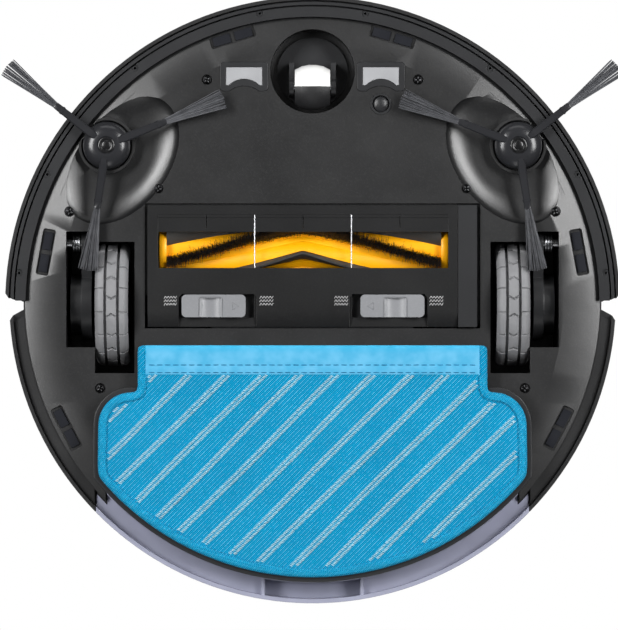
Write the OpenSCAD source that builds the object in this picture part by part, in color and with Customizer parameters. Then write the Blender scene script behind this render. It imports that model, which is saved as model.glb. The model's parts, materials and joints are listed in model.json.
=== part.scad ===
// Robot vacuum cleaner with a mop, standing on its wheels.
// Origin: on the floor under the middle of the body. +Z up, -Y is the front
// with the bumper, +Y is the rear with the water tank, and +X is the robot's
// own left. Millimetres.

/* [Body] */
// Outer radius of the round body
body_r = 175; // [172:1:212]
// Height of the top cover above the floor
body_h = 80; // [78:0.5:98]
// Height of the flat underside above the floor
base_z = 11; // [10.6:0.1:12]
// Thickness of the underside plate
base_t = 3; // [2.4:0.1:3.4]
// How far the sloping edge of the underside rises
base_rise = 5; // [4:0.5:6]
// Width of the sloping edge of the underside
base_slope_w = 21; // [18:0.5:24]
// General wall thickness
wall = 2; // [1.6:0.1:2.4]
// Thickness of the top cover
cover_t = 4; // [3:0.5:5]
// Clearance between pieces that move past each other
gap = 0.35; // [0.2:0.05:0.5]
// Radial clearance of shafts in bores
fit = 0.05; // [0.02:0.01:0.08]

/* [Bumper] */
// Travel of the bumper towards the body
bumper_travel = 3; // [1:0.5:3.6]
// How far the bumper's centre lies behind the body's centre
bumper_shift = 2.2; // [1.5:0.1:3]
// Thickness of the bumper's outer skin
skin_t = 2; // [1.5:0.1:2.5]
// Width of the bumper's lower flange
flange_w = 5.9; // [5:0.1:6]
// Width of the grooves under the bumper
groove_w = 1; // [0.6:0.1:1.4]
// Half angle of the dark window in the bumper
window_a = 38; // [20:1:50]
// Height of the dark window
window_h = 17; // [10:1:22]

/* [Wheels] */
// Diameter of the drive wheels
wheel_d = 71; // [60:1:72]
// Width of the drive wheels
wheel_w = 19; // [15:0.5:23]
// Distance of the wheels' middle from the edge of the body
wheel_inset = 59.4; // [57:0.2:62]
// Fore and aft place of the drive axle
wheel_y = 2.6; // [-4:0.2:6]
// Thickness of the tyre
tyre_t = 6.5; // [4:0.5:9]
// Diameter of the drive axle
axle_d = 8; // [5:0.5:10]
// Thickness of the suspension arm
arm_w = 12.5; // [9:0.5:14]
// Length of the suspension arm, pivot to axle, fore and aft
arm_len = 35.6; // [30:0.5:38]
// How far the arm's pivot lies below the axle
arm_drop = 11.5; // [8:0.5:14]
// Diameter of the arm's pivot pin
pivot_d = 5; // [3:0.5:6]
// Radius of the caster wheel
caster_r = 13; // [10:0.5:14]
// Width of the caster wheel
caster_w = 20.4; // [14:0.2:21]
// How far the caster wheel trails behind its swivel
caster_trail = 9.2; // [6:0.2:9.4]
// Radius of the recess that the caster swivels in
caster_well_r = 24.4; // [24:0.2:27]
// Distance of the swivel from the front edge of the body
caster_inset = 43.2; // [42:0.2:46]

/* [Side brushes] */
// Distance of a side brush's hub from the edge of the body
hub_inset = 56.4; // [55:0.2:60]
// Distance of a side brush's hub ahead of the body's middle
hub_ahead = 89; // [86:0.5:92]
// Radius of the side brush's hub
hub_r = 13.8; // [11:0.2:15]
// Length of the stiff part of an arm, from the hub's axis
stem_len = 37.5; // [30:0.5:42]
// Length of an arm with its bristles, from the hub's axis
bristle_len = 73.5; // [60:0.5:74]
// How far the first tuft's tip lies outside the drive wheel
tuft_past_wheel = 4.1; // [2:0.1:6]
// Half the length of the oval dish around a side brush
dish_long = 42; // [38:0.5:43]
// Half the width of the oval dish
dish_short = 28; // [25:0.5:29]
// Depth of the dish
dish_deep = 7; // [5:0.5:8]

/* [Main brush] */
// Half the width of the brush bay
bay_hw = 96.6; // [95:0.2:98]
// Front edge of the brush bay, ahead of the body's middle
bay_front = 55.7; // [54:0.1:58]
// Rear edge of the brush bay, behind the body's middle
bay_rear = 16.4; // [16:0.1:19]
// Radius of the roller's bristle tips
roller_r = 20; // [17:0.5:20.4]
// Radius of the roller's core
core_r = 12.5; // [9:0.5:14]
// Height of the roller's axis
roller_z = 28.2; // [27.8:0.1:30]
// Distance of the roller's axis ahead of the body's middle
roller_ahead = 28.8; // [28.4:0.1:29.2]
// Width of the removable brush cover
guard_w = 178.4; // [176:0.2:179]
// Thickness of the brush cover
guard_t = 2.6; // [2:0.1:3]
// How far the cover's rubber flaps hang below it
flap_drop = 0.4; // [0.1:0.1:0.6]
// Thickness of the flaps' hanging edge
flap_t = 1.6; // [1:0.1:2.4]
// Width of a guard wire over the roller
wire_w = 1; // [0.6:0.1:1.6]
// Width of the latches on the brush cover
latch_w = 36.8; // [30:0.2:38]
// Depth of the latches, fore and aft
latch_d = 13; // [10:0.2:14]
// Width of the finger scoop in a latch
scoop_w = 14; // [10:0.5:16]
// Travel of the latches
latch_travel = 4.6; // [2:0.2:5]

/* [Tank and mop] */
// Half the width of the tank
tank_hw = 118.5; // [112:0.5:119]
// Front face of the tank, behind the body's middle
tank_front = 63; // [62:0.5:70]
// Height of the tank's top above the floor
tank_top = 50; // [40:0.5:54]
// Half the width of the tank's rear wall in the body's edge
tank_rim_hw = 124.9; // [122:0.2:126]
// Thickness of the mop cloth
cloth_t = 3; // [2:0.1:3.2]
// Height of the mop cloth's underside above the floor
cloth_z = 0.5; // [0.2:0.1:0.8]
// Thickness of the mop plate
plate_t = 4.8; // [3:0.1:5.4]
// Half the width of the mop cloth's front strip
strip_hw = 100.4; // [95:0.2:101]
// Front edge of the mop cloth, behind the body's middle
strip_y = 26; // [24:0.5:30]

/* [Top] */
// Half the width of the lid
lid_hw = 72; // [68:0.5:80]
// Front edge of the lid, ahead of the body's middle
lid_front = 76; // [70:0.5:84]
// Hinge line of the lid, behind the body's middle
hinge_y = 55; // [52:0.5:57]
// Thickness of the lid
lid_t = 3; // [2.4:0.1:3.4]
// Radius of the turret
turret_r = 42; // [38:0.5:45]
// Height of the turret above the top cover
turret_h = 13; // [11:0.5:16]
// Place of the turret behind the body's middle
turret_y = 105; // [103:0.5:112]
// Diameter of the start button
button_d = 17; // [12:0.5:22]
// Travel of the start button
button_travel = 1; // [0.5:0.1:1.5]

/* [Hidden] */
$fn = 96;
eps = 0.01;
base_r = body_r - 9;                       // edge of the underside
crease_r = base_r - base_slope_w;          // where its slope begins
rim_z = base_z + base_rise;                // underside at its edge
deck_z = base_z + base_t;                  // upper face of the underside plate
ledge_z = rim_z + base_t;                  // upper face of the plate's rim
roof_z = body_h - cover_t;                 // underside of the top cover
skirt_z = rim_z - 2;                       // lower edge of the side shell
shell_y = 5;                               // front end of the side shell
wall_r = body_r - 14;                      // front wall behind the bumper
inner_r = wall_r - 3.2;                    // what stands inside the front wall
bumper_r = body_r + bumper_shift;          // bumper's outer radius
bumper_z = rim_z - 3.7;                    // lower edge of the bumper
flange_in = bumper_r - 11.7;               // bumper flange, inner radius
flange_out = flange_in + flange_w;
band_out = bumper_r - skin_t - groove_w;
band_in = flange_out + groove_w;
wheel_x = body_r - wheel_inset;
wheel_r = wheel_d / 2;
wheel_in = wheel_x - wheel_w / 2;
wheel_out = wheel_x + wheel_w / 2;
pod_in = wheel_in - 5.6;                   // wheel housing, inner side
arm_in = wheel_out + 2.4;                  // suspension arm, inner side
pod_out = arm_in + arm_w + 4;              // wheel housing, outer side
pod_front = wheel_y - wheel_r - 8.9;
pod_rear = wheel_y + wheel_r + 6.9;
pod_top = max(wheel_d + 1.4, roof_z - 3.6) + eps;
pivot_y = wheel_y - arm_len;
pivot_z = wheel_r - arm_drop;
caster_y = -(body_r - caster_inset);
caster_cup_z = base_z + 19;                // ceiling of the caster recess
hub_x = body_r - hub_inset;
arm_turn = asin((wheel_out + tuft_past_wheel - hub_x) / bristle_len);
dish_x = hub_x - 8.1;                      // middle of the oval dish
dish_y = -hub_ahead + 8;
dish_a = 52.6;                             // lie of the oval dish
contact_x = 39.4;
contact_y = -(body_r - 46.3);
carpet_y = -(body_r - 62);
guard_z = base_z - 2.8;                    // underside of the brush cover
guard_x0 = -94.9;
guard_x1 = guard_x0 + guard_w;
slot_x0 = -88.9;                           // opening over the roller
slot_x1 = 78.2;
slot_y0 = -39.2;
slot_y1 = -18.4;
guard_y0 = -54.5;                          // front and rear edge of the brush cover
guard_y1 = 15.5;
flap_y0 = -49;                             // front edge of the flaps
FLAPS = 6;
flap_pitch = (slot_x1 - slot_x0) / FLAPS;
WIRES = [-33.3, 22.4];                     // places of the guard wires
roller_x0 = slot_x0 + 0.9;                 // the brush fills the slot from end to end
roller_x1 = slot_x1 - 0.4;
tunnel_r = roller_r + 3;
tunnel_rear = -3;
latch_y = 3.4;
latch_gap = 0.3;
latch_t = 3.6;
latch_proud = 0.5;                         // how far a latch stands out of the cover
scoop_off = 1.7;                           // middle of the finger scoop, from the latch's middle
scoop_rim = 1.3;
scoop_deep = 2.6;
scoop_r = (scoop_w * scoop_w / 4 + scoop_deep * scoop_deep) / (2 * scoop_deep);
pocket_deep = 3.4;                         // pocket around a latch
pocket_side = 1.8;
bevel_y = 6.6;                             // front edge of the cover's rear bevel
latch_x_right = -56.9;
latch_x_left = 46;
mop_r = body_r - 15.7;                     // rear edge of the mop cloth
plate_z = cloth_z + cloth_t;
tank_z = base_z - 0.2;                     // underside of the tank
tank_rim_in = body_r - 7.5;
turret_z = body_h + turret_h;
black = "#27282b";
dark = "#3a3b3f";
steel = "#b9bcc2";

// ---- Building blocks ----

// Box from its lowest and highest corners
module box(x0, x1, y0, y1, z0, z1)
    translate([x0, y0, z0]) cube([x1 - x0, y1 - y0, z1 - z0]);

// Box on both sides of the middle plane, from its half width
module mid_box(hw, y0, y1, z0, z1) box(-hw, hw, y0, y1, z0, z1);

// A plan shape (x fore-and-aft, y up) carried along X
module along_x(x0, x1)
    translate([x0, 0, 0]) rotate([90, 0, 90]) linear_extrude(x1 - x0) children();

// Round bar along X
module bar_x(r, x0, x1, y, z)
    translate([x0, y, z]) rotate([0, 90, 0]) cylinder(r = r, h = x1 - x0);

// The same on the left and the right
module both() {
    children();
    mirror([1, 0, 0]) children();
}

// Something on the edge: angle from the front, and distance from the middle
module polar(angle, r) rotate([0, 0, angle]) translate([0, -r, 0]) children();

module spun(points) rotate_extrude($fn = 180) polygon(points);

module ring(r_out, r_in, z0, z1)
    translate([0, 0, z0])
        difference() {
            cylinder(r = r_out, h = z1 - z0, $fn = 180);
            translate([0, 0, -1]) cylinder(r = r_in, h = z1 - z0 + 2, $fn = 180);
        }

// Rectangle about its middle with round corners
module round_rect(w, d, r) {
    square([w, d - 2 * r], center = true);
    square([w - 2 * r, d], center = true);
    for (x = [-1, 1], y = [-1, 1])
        translate([x * (w / 2 - r), y * (d / 2 - r)]) circle(r);
}

// An outline from its right half
function two_sided(half) =
    concat(half, [for (i = [len(half) - 1:-1:0]) [-half[i].x, half[i].y]]);

// Plan area of the side shell; its front corners are cut back in steps
module rear_zone(back = 0) {
    half = [
        [base_r, shell_y], [body_r - 2.4, shell_y + 3.6],
        [body_r - 0.4, shell_y + 6.7], [body_r + 5, shell_y + 13],
        [body_r + 5, body_r + 20]
    ];
    translate([0, back]) polygon(two_sided(half));
}

// Room that the tank and its rear wall need in the body
module tank_room(extra) {
    mid_box(tank_hw + extra, tank_front - extra, body_r + 9, 0, tank_top + extra);
    intersection() {
        ring(body_r + 9, tank_rim_in - extra, 0, tank_top + extra);
        mid_box(tank_rim_hw + extra, body_r / 2, body_r + 9, 0, tank_top + extra);
    }
}

// ---- Underside ----

function oval(a, b, step = 10) = [for (t = [0:step:359]) [a * cos(t), b * sin(t)]];

module oval_plan(grow) rotate(dish_a) polygon(oval(dish_long + grow, dish_short + grow));

// Bowl-shaped hollow around one side brush
module dish_hollow()
    translate([dish_x, dish_y, base_z])
        hull() for (s = [0, 0.3, 0.55, 0.8, 1])
            translate([0, 0, dish_deep * s - eps]) linear_extrude(eps)
                rotate(dish_a) scale(sqrt(1 - 0.72 * s * s)) polygon(oval(dish_long, dish_short));

module dish_body() {
    top = base_z + dish_deep + wall;
    translate([dish_x, dish_y, deck_z - eps]) linear_extrude(top - deck_z) oval_plan(wall);
}

// Low ring in the dish that keeps hair off the hub
module hair_ring()
    translate([hub_x, -hub_ahead, base_z + 0.4])
        difference() {
            cylinder(r = hub_r + 2.4, h = dish_deep);
            translate([0, 0, -1]) cylinder(r = hub_r + 0.9, h = dish_deep + 2);
        }

// Cliff sensors: angle from the front, distance in from the body's edge
CLIFFS = [[16.9, 16.3], [79.8, 18.7], [117.5, 14.9]];
CLIFF_LONG = 27;
CLIFF_WIDE = 7.6;

module at_cliffs() both() for (c = CLIFFS) polar(c[0], body_r - c[1]) children();

SCREW_R = 2.6;

// Screws in the underside
module at_base_screws() both() {
    translate([60.8, contact_y + 1.8]) children();
    translate([dish_x - 21.6, dish_y + 16.7]) children();
    translate([hub_x + 21.4, -hub_ahead + 38]) children();
    translate([wheel_x + 6.7, pod_rear + 5.9]) children();
}

module base_blank() {
    intersection() {
        spun([
            [0, base_z], [crease_r, base_z], [base_r, rim_z], [base_r, ledge_z],
            [crease_r - 1, ledge_z], [crease_r - 1, deck_z], [0, deck_z]
        ]);
        translate([0, bumper_travel - 0.1, 0]) cylinder(r = base_r, h = body_h, $fn = 180);
    }
    intersection() {
        ring(body_r - wall - groove_w, base_r - 3, ledge_z - wall, ledge_z);
        linear_extrude(body_h) rear_zone(4);
    }
    intersection() {
        union() {
            both() dish_body();
            translate([0, caster_y, deck_z - eps])
                cylinder(r = caster_well_r + wall, h = caster_cup_z + wall - deck_z);
            at_base_screws() translate([0, 0, deck_z - eps]) cylinder(r = 4.2, h = 9);
        }
        cylinder(r = inner_r, h = body_h, $fn = 180);
    }
}

module base_plate() color(black) {
    difference() {
        base_blank();
        both() dish_hollow();
        both() translate([hub_x, -hub_ahead, 0]) cylinder(r = 4.4, h = body_h);
        translate([0, caster_y, 0]) cylinder(r = caster_well_r, h = caster_cup_z);
        translate([0, caster_y, 0]) cylinder(r = 4 + fit, h = body_h);
        mid_box(bay_hw, -bay_front, bay_rear, 0, body_h);
        mid_box(bay_hw + 1.5, -bay_front - 1.7, bay_rear, deck_z, body_h);
        both() {
            box(pod_in - 0.1, pod_out + 0.1, pod_front - 0.1, pod_rear + 0.1, deck_z, body_h);
            box(wheel_in - 3.6, wheel_out + 0.3, wheel_y - wheel_r - 0.7,
                wheel_y + wheel_r + 4.1, 0, body_h);
            box(wheel_out, arm_in + arm_w + 2, wheel_y - wheel_r - 6.6, wheel_y + 24.7, 0, body_h);
            translate([contact_x, contact_y, 0]) linear_extrude(body_h) bezel_plan(0.1);
        }
        tank_room(gap + 0.6);
        at_cliffs() {
            linear_extrude(rim_z) round_rect(CLIFF_LONG, CLIFF_WIDE, 1.6);
            for (s = [-1, 1]) translate([s * 6.5, 0]) linear_extrude(body_h)
                square([10.4, 5.4], center = true);
        }
        at_base_screws() {
            cylinder(r = 3.1, h = base_z + 1.8);
            cylinder(r = 1.35, h = deck_z + 8);
        }
        translate([contact_x, carpet_y, 0]) cylinder(r = 6.2, h = body_h);
    }
    // the hair rings stop short of the bumper's flange at the end of its travel
    intersection() {
        both() hair_ring();
        translate([0, bumper_shift + bumper_travel, 0])
            cylinder(r = flange_in - gap, h = base_z + dish_deep, $fn = 180);
    }
}

// Shank and cross-head of one screw whose head's face is at z
module cross_screw(r, z, head_t, shank_r, shank_z)
    difference() {
        union() {
            translate([0, 0, z]) cylinder(r = r, h = head_t);
            translate([0, 0, z + head_t - eps]) cylinder(r = shank_r, h = shank_z - z - head_t);
        }
        for (a = [0, 90]) rotate(a) translate([0, 0, z]) cube([r * 1.1, r * 0.3, 1.4], center = true);
    }

module base_screws() color(dark)
    at_base_screws() cross_screw(SCREW_R, base_z + 0.8, 1, 1.3, deck_z + 7);

// Outline of a bezel, with its bowed rear edge
module bezel_plan(grow)
    difference() {
        round_rect(27.6 + 2 * grow, 16.7 + 2 * grow, 2.2);
        translate([0, 19.3]) circle(13.9 - grow);
    }

module contact_bezels() color(dark)
    both() translate([contact_x, contact_y, base_z - 0.4])
        difference() {
            linear_extrude(5) bezel_plan(0);
            translate([0, 0, -1]) linear_extrude(7) contact_plan(0.1);
        }

// Outline of a charging contact, with its bowed rear edge
module contact_plan(grow)
    translate([0, -0.2]) difference() {
        square([20.8 + 2 * grow, 10.4 + 2 * grow], center = true);
        translate([0, 13.8]) circle(12.3 - grow);
    }

module charge_contacts() color(steel)
    both() translate([contact_x, contact_y, base_z])
        linear_extrude(3) contact_plan(0);

module cliff_lenses() color("#15161a")
    at_cliffs() for (s = [-1, 1])
        translate([s * 6.5, 0, rim_z - 0.8]) linear_extrude(3) square([10.2, 5.2], center = true);

module carpet_sensor() color(dark)
    translate([contact_x, carpet_y, base_z - 0.3]) {
        difference() {
            cylinder(r = 6.1, h = 12);
            translate([0, 0, -1]) cylinder(r = 4.9, h = 6);
        }
        intersection() {
            translate([0, 0, 8.2]) sphere(r = 8);
            cylinder(r = 4.7, h = 6);
        }
    }

// ---- Walls and top ----

module front_wall() color(black)
    difference() {
        ring(wall_r, wall_r - 3, ledge_z, roof_z);
        translate([-body_r, 12, 0]) cube([2 * body_r, body_r, body_h]);
    }

module side_shell() color(black)
    difference() {
        union() {
            intersection() {
                spun([
                    [body_r - wall, skirt_z], [body_r, skirt_z], [body_r, body_h - 10],
                    [body_r - 0.5, body_h - 7.6], [body_r - 1.7, body_h - 5.6],
                    [body_r - 3.6, roof_z], [body_r - 13, roof_z], [body_r - 13, roof_z - wall],
                    [body_r - 5, roof_z - wall], [body_r - 3.2, body_h - 8],
                    [body_r - wall, body_h - 12], [body_r - wall, ledge_z + wall],
                    [body_r - 13, ledge_z + wall], [body_r - 13, ledge_z],
                    [body_r - wall, ledge_z]
                ]);
                linear_extrude(body_h) rear_zone();
            }
            translate([0, 0, ledge_z]) linear_extrude(roof_z - ledge_z) difference() {
                intersection() {
                    circle(r = body_r - 4, $fn = 180);
                    rear_zone();
                }
                circle(r = body_r - 13, $fn = 180);
                rear_zone(wall);
            }
        }
        intersection() {
            tank_room(gap);
            box(-body_r, body_r, body_r / 2, body_r + 9, 0, body_h);
        }
    }

// Plan of the lid, or of the room for it: rounded at the front, square at the hinge
module lid_plan(grow, rear) {
    translate([0, (hinge_y - lid_front) / 2])
        round_rect(2 * (lid_hw + grow), hinge_y + lid_front + 2 * grow, 12);
    translate([-lid_hw - grow, 0]) square([2 * (lid_hw + grow), rear]);
}

module top_cover() color(black) {
    lid_z = body_h - lid_t;
    difference() {
        union() {
            spun([
                [0, roof_z], [body_r - 4, roof_z], [body_r - 4, roof_z + 1.6],
                [body_r - 4.6, body_h - 1], [body_r - 6.4, body_h - 0.2], [body_r - 9, body_h],
                [0, body_h]
            ]);
            translate([0, 0, roof_z - wall]) linear_extrude(wall + eps)
                lid_plan(4, hinge_y + lid_t / 2 + 4);
            translate([0, turret_y, body_h - eps]) cylinder(r = turret_r, h = 1.6);
        }
        translate([0, 0, lid_z - 0.2]) linear_extrude(body_h)
            lid_plan(gap, hinge_y + lid_t / 2 + gap);
        mid_box(lid_hw - 6, -lid_front + 8, hinge_y - 2.4, 0, body_h);
        bar_x(0.9 + fit, -lid_hw - 3, lid_hw + 3, hinge_y, body_h - lid_t / 2);
        translate([0, turret_y, 0]) cylinder(r = turret_r - 9, h = body_h + 9);
        translate([0, -body_r + 52, 0]) cylinder(r = button_d / 2 + gap, h = body_h + 1);
    }
    // shelf under the start button
    translate([0, -body_r + 52, roof_z - 3])
        difference() {
            cylinder(r = button_d / 2 + 3, h = 3);
            translate([0, 0, 1]) cylinder(r = button_d / 2 + gap, h = 3);
        }
}

module top_lid() color(dark) {
    lid_z = body_h - lid_t;
    translate([0, 0, lid_z]) linear_extrude(lid_t) difference() {
        intersection() {
            lid_plan(0, hinge_y);
            translate([-lid_hw, -lid_front]) square([2 * lid_hw, lid_front + hinge_y]);
        }
        translate([0, -lid_front]) circle(r = 9);
    }
    bar_x(lid_t / 2, -lid_hw, lid_hw, hinge_y, lid_z + lid_t / 2);
    both() bar_x(0.9, lid_hw - eps, lid_hw + 2.6, hinge_y, lid_z + lid_t / 2);
}

module start_button() color(steel)
    translate([0, -body_r + 52, roof_z - 2 + button_travel + 0.2]) {
        cylinder(r = button_d / 2, h = cover_t + 1.2 - button_travel);
    }

// ---- Electronics and air path ----

module battery_pack() color("#2f5d8a")
    translate([0, -83, deck_z]) {
        translate([-68, -20, 0]) cube([136, 40, 22]);
        translate([-20, 20, 4]) cube([40, 3, 12]);
    }

module main_board() color("#1f5b34")
    translate([0, -100, roof_z - 16]) {
        difference() {
            translate([-62, -30, 0]) cube([124, 56, 1.6]);
            for (x = [-1, 1], y = [-1, 1])
                translate([x * 57, y * 23 - 2, -1]) cylinder(r = 1.6, h = 4);
        }
        for (p = [[-30, -10, 14], [12, -14, 10], [38, 8, 8]])
            translate([p[0], p[1], 1.6 - eps]) cube([p[2], p[2], 2]);
    }

module speaker() color(dark)
    translate([-95, -95, roof_z - 16]) {
        cylinder(r = 14, h = 3);
        translate([0, 0, 3 - eps]) cylinder(r1 = 13, r2 = 7, h = 6);
        translate([0, 0, 9 - 2 * eps]) cylinder(r = 8, h = 3);
    }

module brush_housing() color(black)
    difference() {
        box(-bay_hw - 1.4, 83.5, -bay_front - 1.6, tunnel_rear, deck_z, roller_z + tunnel_r + wall);
        bar_x(tunnel_r, roller_x0 - 0.6, roller_x1 + 0.6, -roller_ahead, roller_z);
        box(roller_x0 - 0.6, roller_x1 + 0.6, -bay_front + 4.8, -roller_ahead + tunnel_r - 1,
            0, roller_z - 4);
        box(-60, 20, -roller_ahead, tunnel_rear + 1, roller_z - 6, roller_z + 14);
        bar_x(3 + fit, roller_x0 - 4, roller_x0 + 1, -roller_ahead, roller_z);
        bar_x(3 + fit, roller_x1 - 1, 84, -roller_ahead, roller_z);
    }

module brush_gearbox() color(dark)
    difference() {
        union() {
            box(83.6, 96.4, -bay_front + 0.6, 14, deck_z, roller_z + 20);
            box(guard_x1 + 0.3, 94.7, -54.5, 15.5, guard_z, deck_z + eps);
        }
        bar_x(3 + fit, 83, 91, -roller_ahead, roller_z);
    }

module brush_motor() color(steel) {
    bar_x(11.5, 64, 83.6, 9, 34);
    bar_x(3, 61.5, 64 + eps, 9, 34);
}

module dust_bin() color("#44464c")
    difference() {
        mid_box(58, tunnel_rear + 0.3, hinge_y - 4, deck_z + 0.4, roof_z - 4);
        difference() {
            mid_box(56, tunnel_rear + 2.3, hinge_y - 6, deck_z + 2.4, roof_z - 6);
            mid_box(10, hinge_y - 16, hinge_y, 0, deck_z + 4);
        }
        box(-54, 18, tunnel_rear - 1, tunnel_rear + 4, roller_z - 4, roller_z + 12);
        box(-60, -50, 12, 42, deck_z + 12, deck_z + 42);
    }

module bin_filter() color("#d9d6cc")
    box(-57.6, -50.2, 12.2, 41.8, deck_z + 12.2, deck_z + 41.8);

FAN = [-61, -92, 27, 41];                  // inner side, outer side, y, z

module fan_housing() color(dark)
    difference() {
        bar_x(22.5, FAN[1], FAN[0], FAN[2], FAN[3]);
        bar_x(20.5, FAN[1] + 8, FAN[0] - 2, FAN[2], FAN[3]);
        bar_x(11, FAN[0] - 3, FAN[0] + 1, FAN[2], FAN[3]);
        bar_x(2 + fit, FAN[1] + 2, FAN[1] + 9, FAN[2], FAN[3]);
    }

module fan_impeller() color("#e8e8e8") {
    bar_x(19.5, FAN[1] + 9, FAN[1] + 11, FAN[2], FAN[3]);
    bar_x(6, FAN[1] + 11 - eps, FAN[0] - 4, FAN[2], FAN[3]);
    bar_x(2, FAN[1] + 3, FAN[1] + 9 + eps, FAN[2], FAN[3]);
    for (a = [0:45:315])
        translate([0, FAN[2], FAN[3]]) rotate([a, 0, 0])
            translate([FAN[1] + 11 - eps, 5, -0.8]) cube([14, 13.5, 1.6]);
}

// Gear units whose output shafts stand over the hubs; their bodies lie further in
module side_brush_motors() color(dark)
    both() polar(atan2(hub_x, hub_ahead), norm([hub_x, hub_ahead]))
        translate([0, 0, base_z + dish_deep + wall]) difference() {
            union() {
                cylinder(r = 8.4, h = 12);
                translate([0, 10, 0]) cylinder(r = 17, h = 12);
                translate([0, 15, 12 - eps]) cylinder(r = 11, h = 24);
            }
            translate([0, 0, -1]) cylinder(r = 3 + fit, h = 10);
        }

module water_pump() color("#c9ccd2")
    translate([82, 42, deck_z]) {
        translate([-12, -12, 0]) cube([24, 26, 18]);
        translate([0, 0, 18 - eps]) cylinder(r = 9, h = 12);
    }

module bumper_switches() color(dark)
    both() polar(40, wall_r) box(-7, 7, -1.6, 0, 36, 44);

// ---- Laser turret ----

module lidar_base() color(dark)
    translate([0, turret_y, 0]) {
        difference() {
            translate([0, 0, tank_top + 2]) cylinder(r = turret_r - 11, h = roof_z - tank_top - 6);
            translate([0, 0, tank_top + 6]) cylinder(r = 4 + fit, h = body_h);
        }
        for (a = [45:90:315]) rotate(a)
            translate([turret_r - 12, -5, roof_z - 8]) cube([8, 10, 8]);
    }

module lidar_rotor() color(dark)
    translate([0, turret_y, 0]) {
        translate([0, 0, tank_top + 8]) cylinder(r = 4, h = roof_z - tank_top - 10 + eps);
        difference() {
            translate([0, 0, roof_z - 2]) cylinder(r = turret_r - 12, h = turret_h + 1.6);
            for (x = [-10, 10])
                translate([x - 6, -turret_r, body_h + 1.4]) cube([12, 20, 7]);
        }
    }

module turret_cap() color(dark)
    translate([0, turret_y, 0]) {
        difference() {
            union() {
                translate([0, 0, turret_z - 3]) cylinder(r = turret_r - 1, h = 1.6);
                translate([0, 0, turret_z - 1.4 - eps])
                    cylinder(r1 = turret_r - 1, r2 = turret_r - 3, h = 1.4);
            }
            translate([0, 0, turret_z - 0.6]) cylinder(r = turret_r - 14, h = 1);
        }
        for (a = [90, 210, 330]) rotate(a)
            translate([turret_r - 7, -7, body_h + 1.6]) cube([4, 14, turret_h - 4.6 + eps]);
    }

// ---- Drive wheels, drawn for the left; the right is the mirror image ----

module wheel_housing() color(black)
    difference() {
        box(pod_in, pod_out, pod_front, pod_rear, deck_z, pod_top);
        difference() {
            box(pod_in + wall, pod_out - wall, pod_front + wall, pod_rear - wall, 0, pod_top - 1);
            // inner cheek that holds the pivot pin
            box(wheel_out + 0.5, arm_in - 0.4, pod_front, pivot_y + 5, deck_z, pivot_z + 9);
        }
        bar_x(pivot_d / 2, wheel_out, pod_out + 1, pivot_y, pivot_z);
    }

module suspension_pins() color(steel)
    both() bar_x(pivot_d / 2, wheel_out + 0.5, pod_out, pivot_y, pivot_z);

module suspension_springs() color(steel)
    both() for (i = [0:2])
        translate([arm_in + arm_w - 5 + 1.6 * i, pivot_y, pivot_z]) rotate([0, 90, 0])
            rotate_extrude($fn = 48) translate([pivot_d / 2 + 1.9, 0]) circle(r = 0.78, $fn = 24);

module arm_plan() {
    hull() {
        translate([pivot_y, pivot_z]) circle(r = 5.6);
        translate([wheel_y, wheel_r]) circle(r = 12);
    }
    translate([wheel_y, wheel_r]) circle(r = 21);
}

module wheel_arm() color(dark)
    difference() {
        union() {
            along_x(arm_in, arm_in + arm_w - 6.4) arm_plan();
            along_x(arm_in + arm_w - 6.4 - eps, arm_in + arm_w)
                translate([wheel_y, wheel_r]) circle(r = 18);
        }
        bar_x(pivot_d / 2 + fit, arm_in - 1, arm_in + arm_w, pivot_y, pivot_z);
        bar_x(axle_d / 2 + fit, arm_in - 1, arm_in + arm_w - 3, wheel_y, wheel_r);
    }

module wheel_rim() color(dark) {
    rim_r = wheel_r - tyre_t;
    difference() {
        bar_x(rim_r, wheel_in + 0.5, wheel_out - 0.5, wheel_y, wheel_r);
        difference() {
            bar_x(rim_r - 3, wheel_in, wheel_in + 6, wheel_y, wheel_r);
            bar_x(8, wheel_in, wheel_in + 7, wheel_y, wheel_r);
            for (a = [0:60:300])
                translate([wheel_in, wheel_y, wheel_r]) rotate([a, 0, 0])
                    translate([0, 0, -1.5]) cube([6, rim_r, 3]);
        }
    }
    bar_x(axle_d / 2, wheel_out - 0.5 - eps, arm_in + arm_w - 4, wheel_y, wheel_r);
}

module wheel_tyre() color("#85878b")
    translate([wheel_x, wheel_y, wheel_r]) rotate([0, 90, 0])
        rotate_extrude($fn = 120) difference() {
            polygon([
                [wheel_r - tyre_t, -wheel_w / 2], [wheel_r - 1.6, -wheel_w / 2],
                [wheel_r, -wheel_w / 2 + 1.6], [wheel_r, wheel_w / 2 - 1.6],
                [wheel_r - 1.6, wheel_w / 2], [wheel_r - tyre_t, wheel_w / 2]
            ]);
            for (s = [-1, 1]) translate([wheel_r, s * 3.7]) square([3, 1], center = true);
        }

// ---- Caster ----

module caster_fork() color(dark)
    translate([0, caster_y, 0]) {
        difference() {
            union() {
                translate([0, 0, caster_cup_z - 3]) cylinder(r = 20.5, h = 2.6);
                along_x(-caster_w / 2 - 3.2, caster_w / 2 + 3.2) {
                    translate([caster_trail, caster_r]) circle(r = 4.6);
                    translate([-5, caster_r]) square([caster_trail + 9.6, caster_cup_z - caster_r - 1]);
                }
            }
            box(-caster_w / 2 - 0.5, caster_w / 2 + 0.5, -30, 30, 0, caster_cup_z - 3);
            bar_x(1.5, -30, 30, caster_trail, caster_r);
        }
        translate([0, 0, caster_cup_z - 1]) cylinder(r = 4, h = wall + 3);
    }

module caster_axle() color(steel)
    translate([0, caster_y, 0])
        bar_x(1.5, -caster_w / 2 - 3, caster_w / 2 + 3, caster_trail, caster_r);

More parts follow.
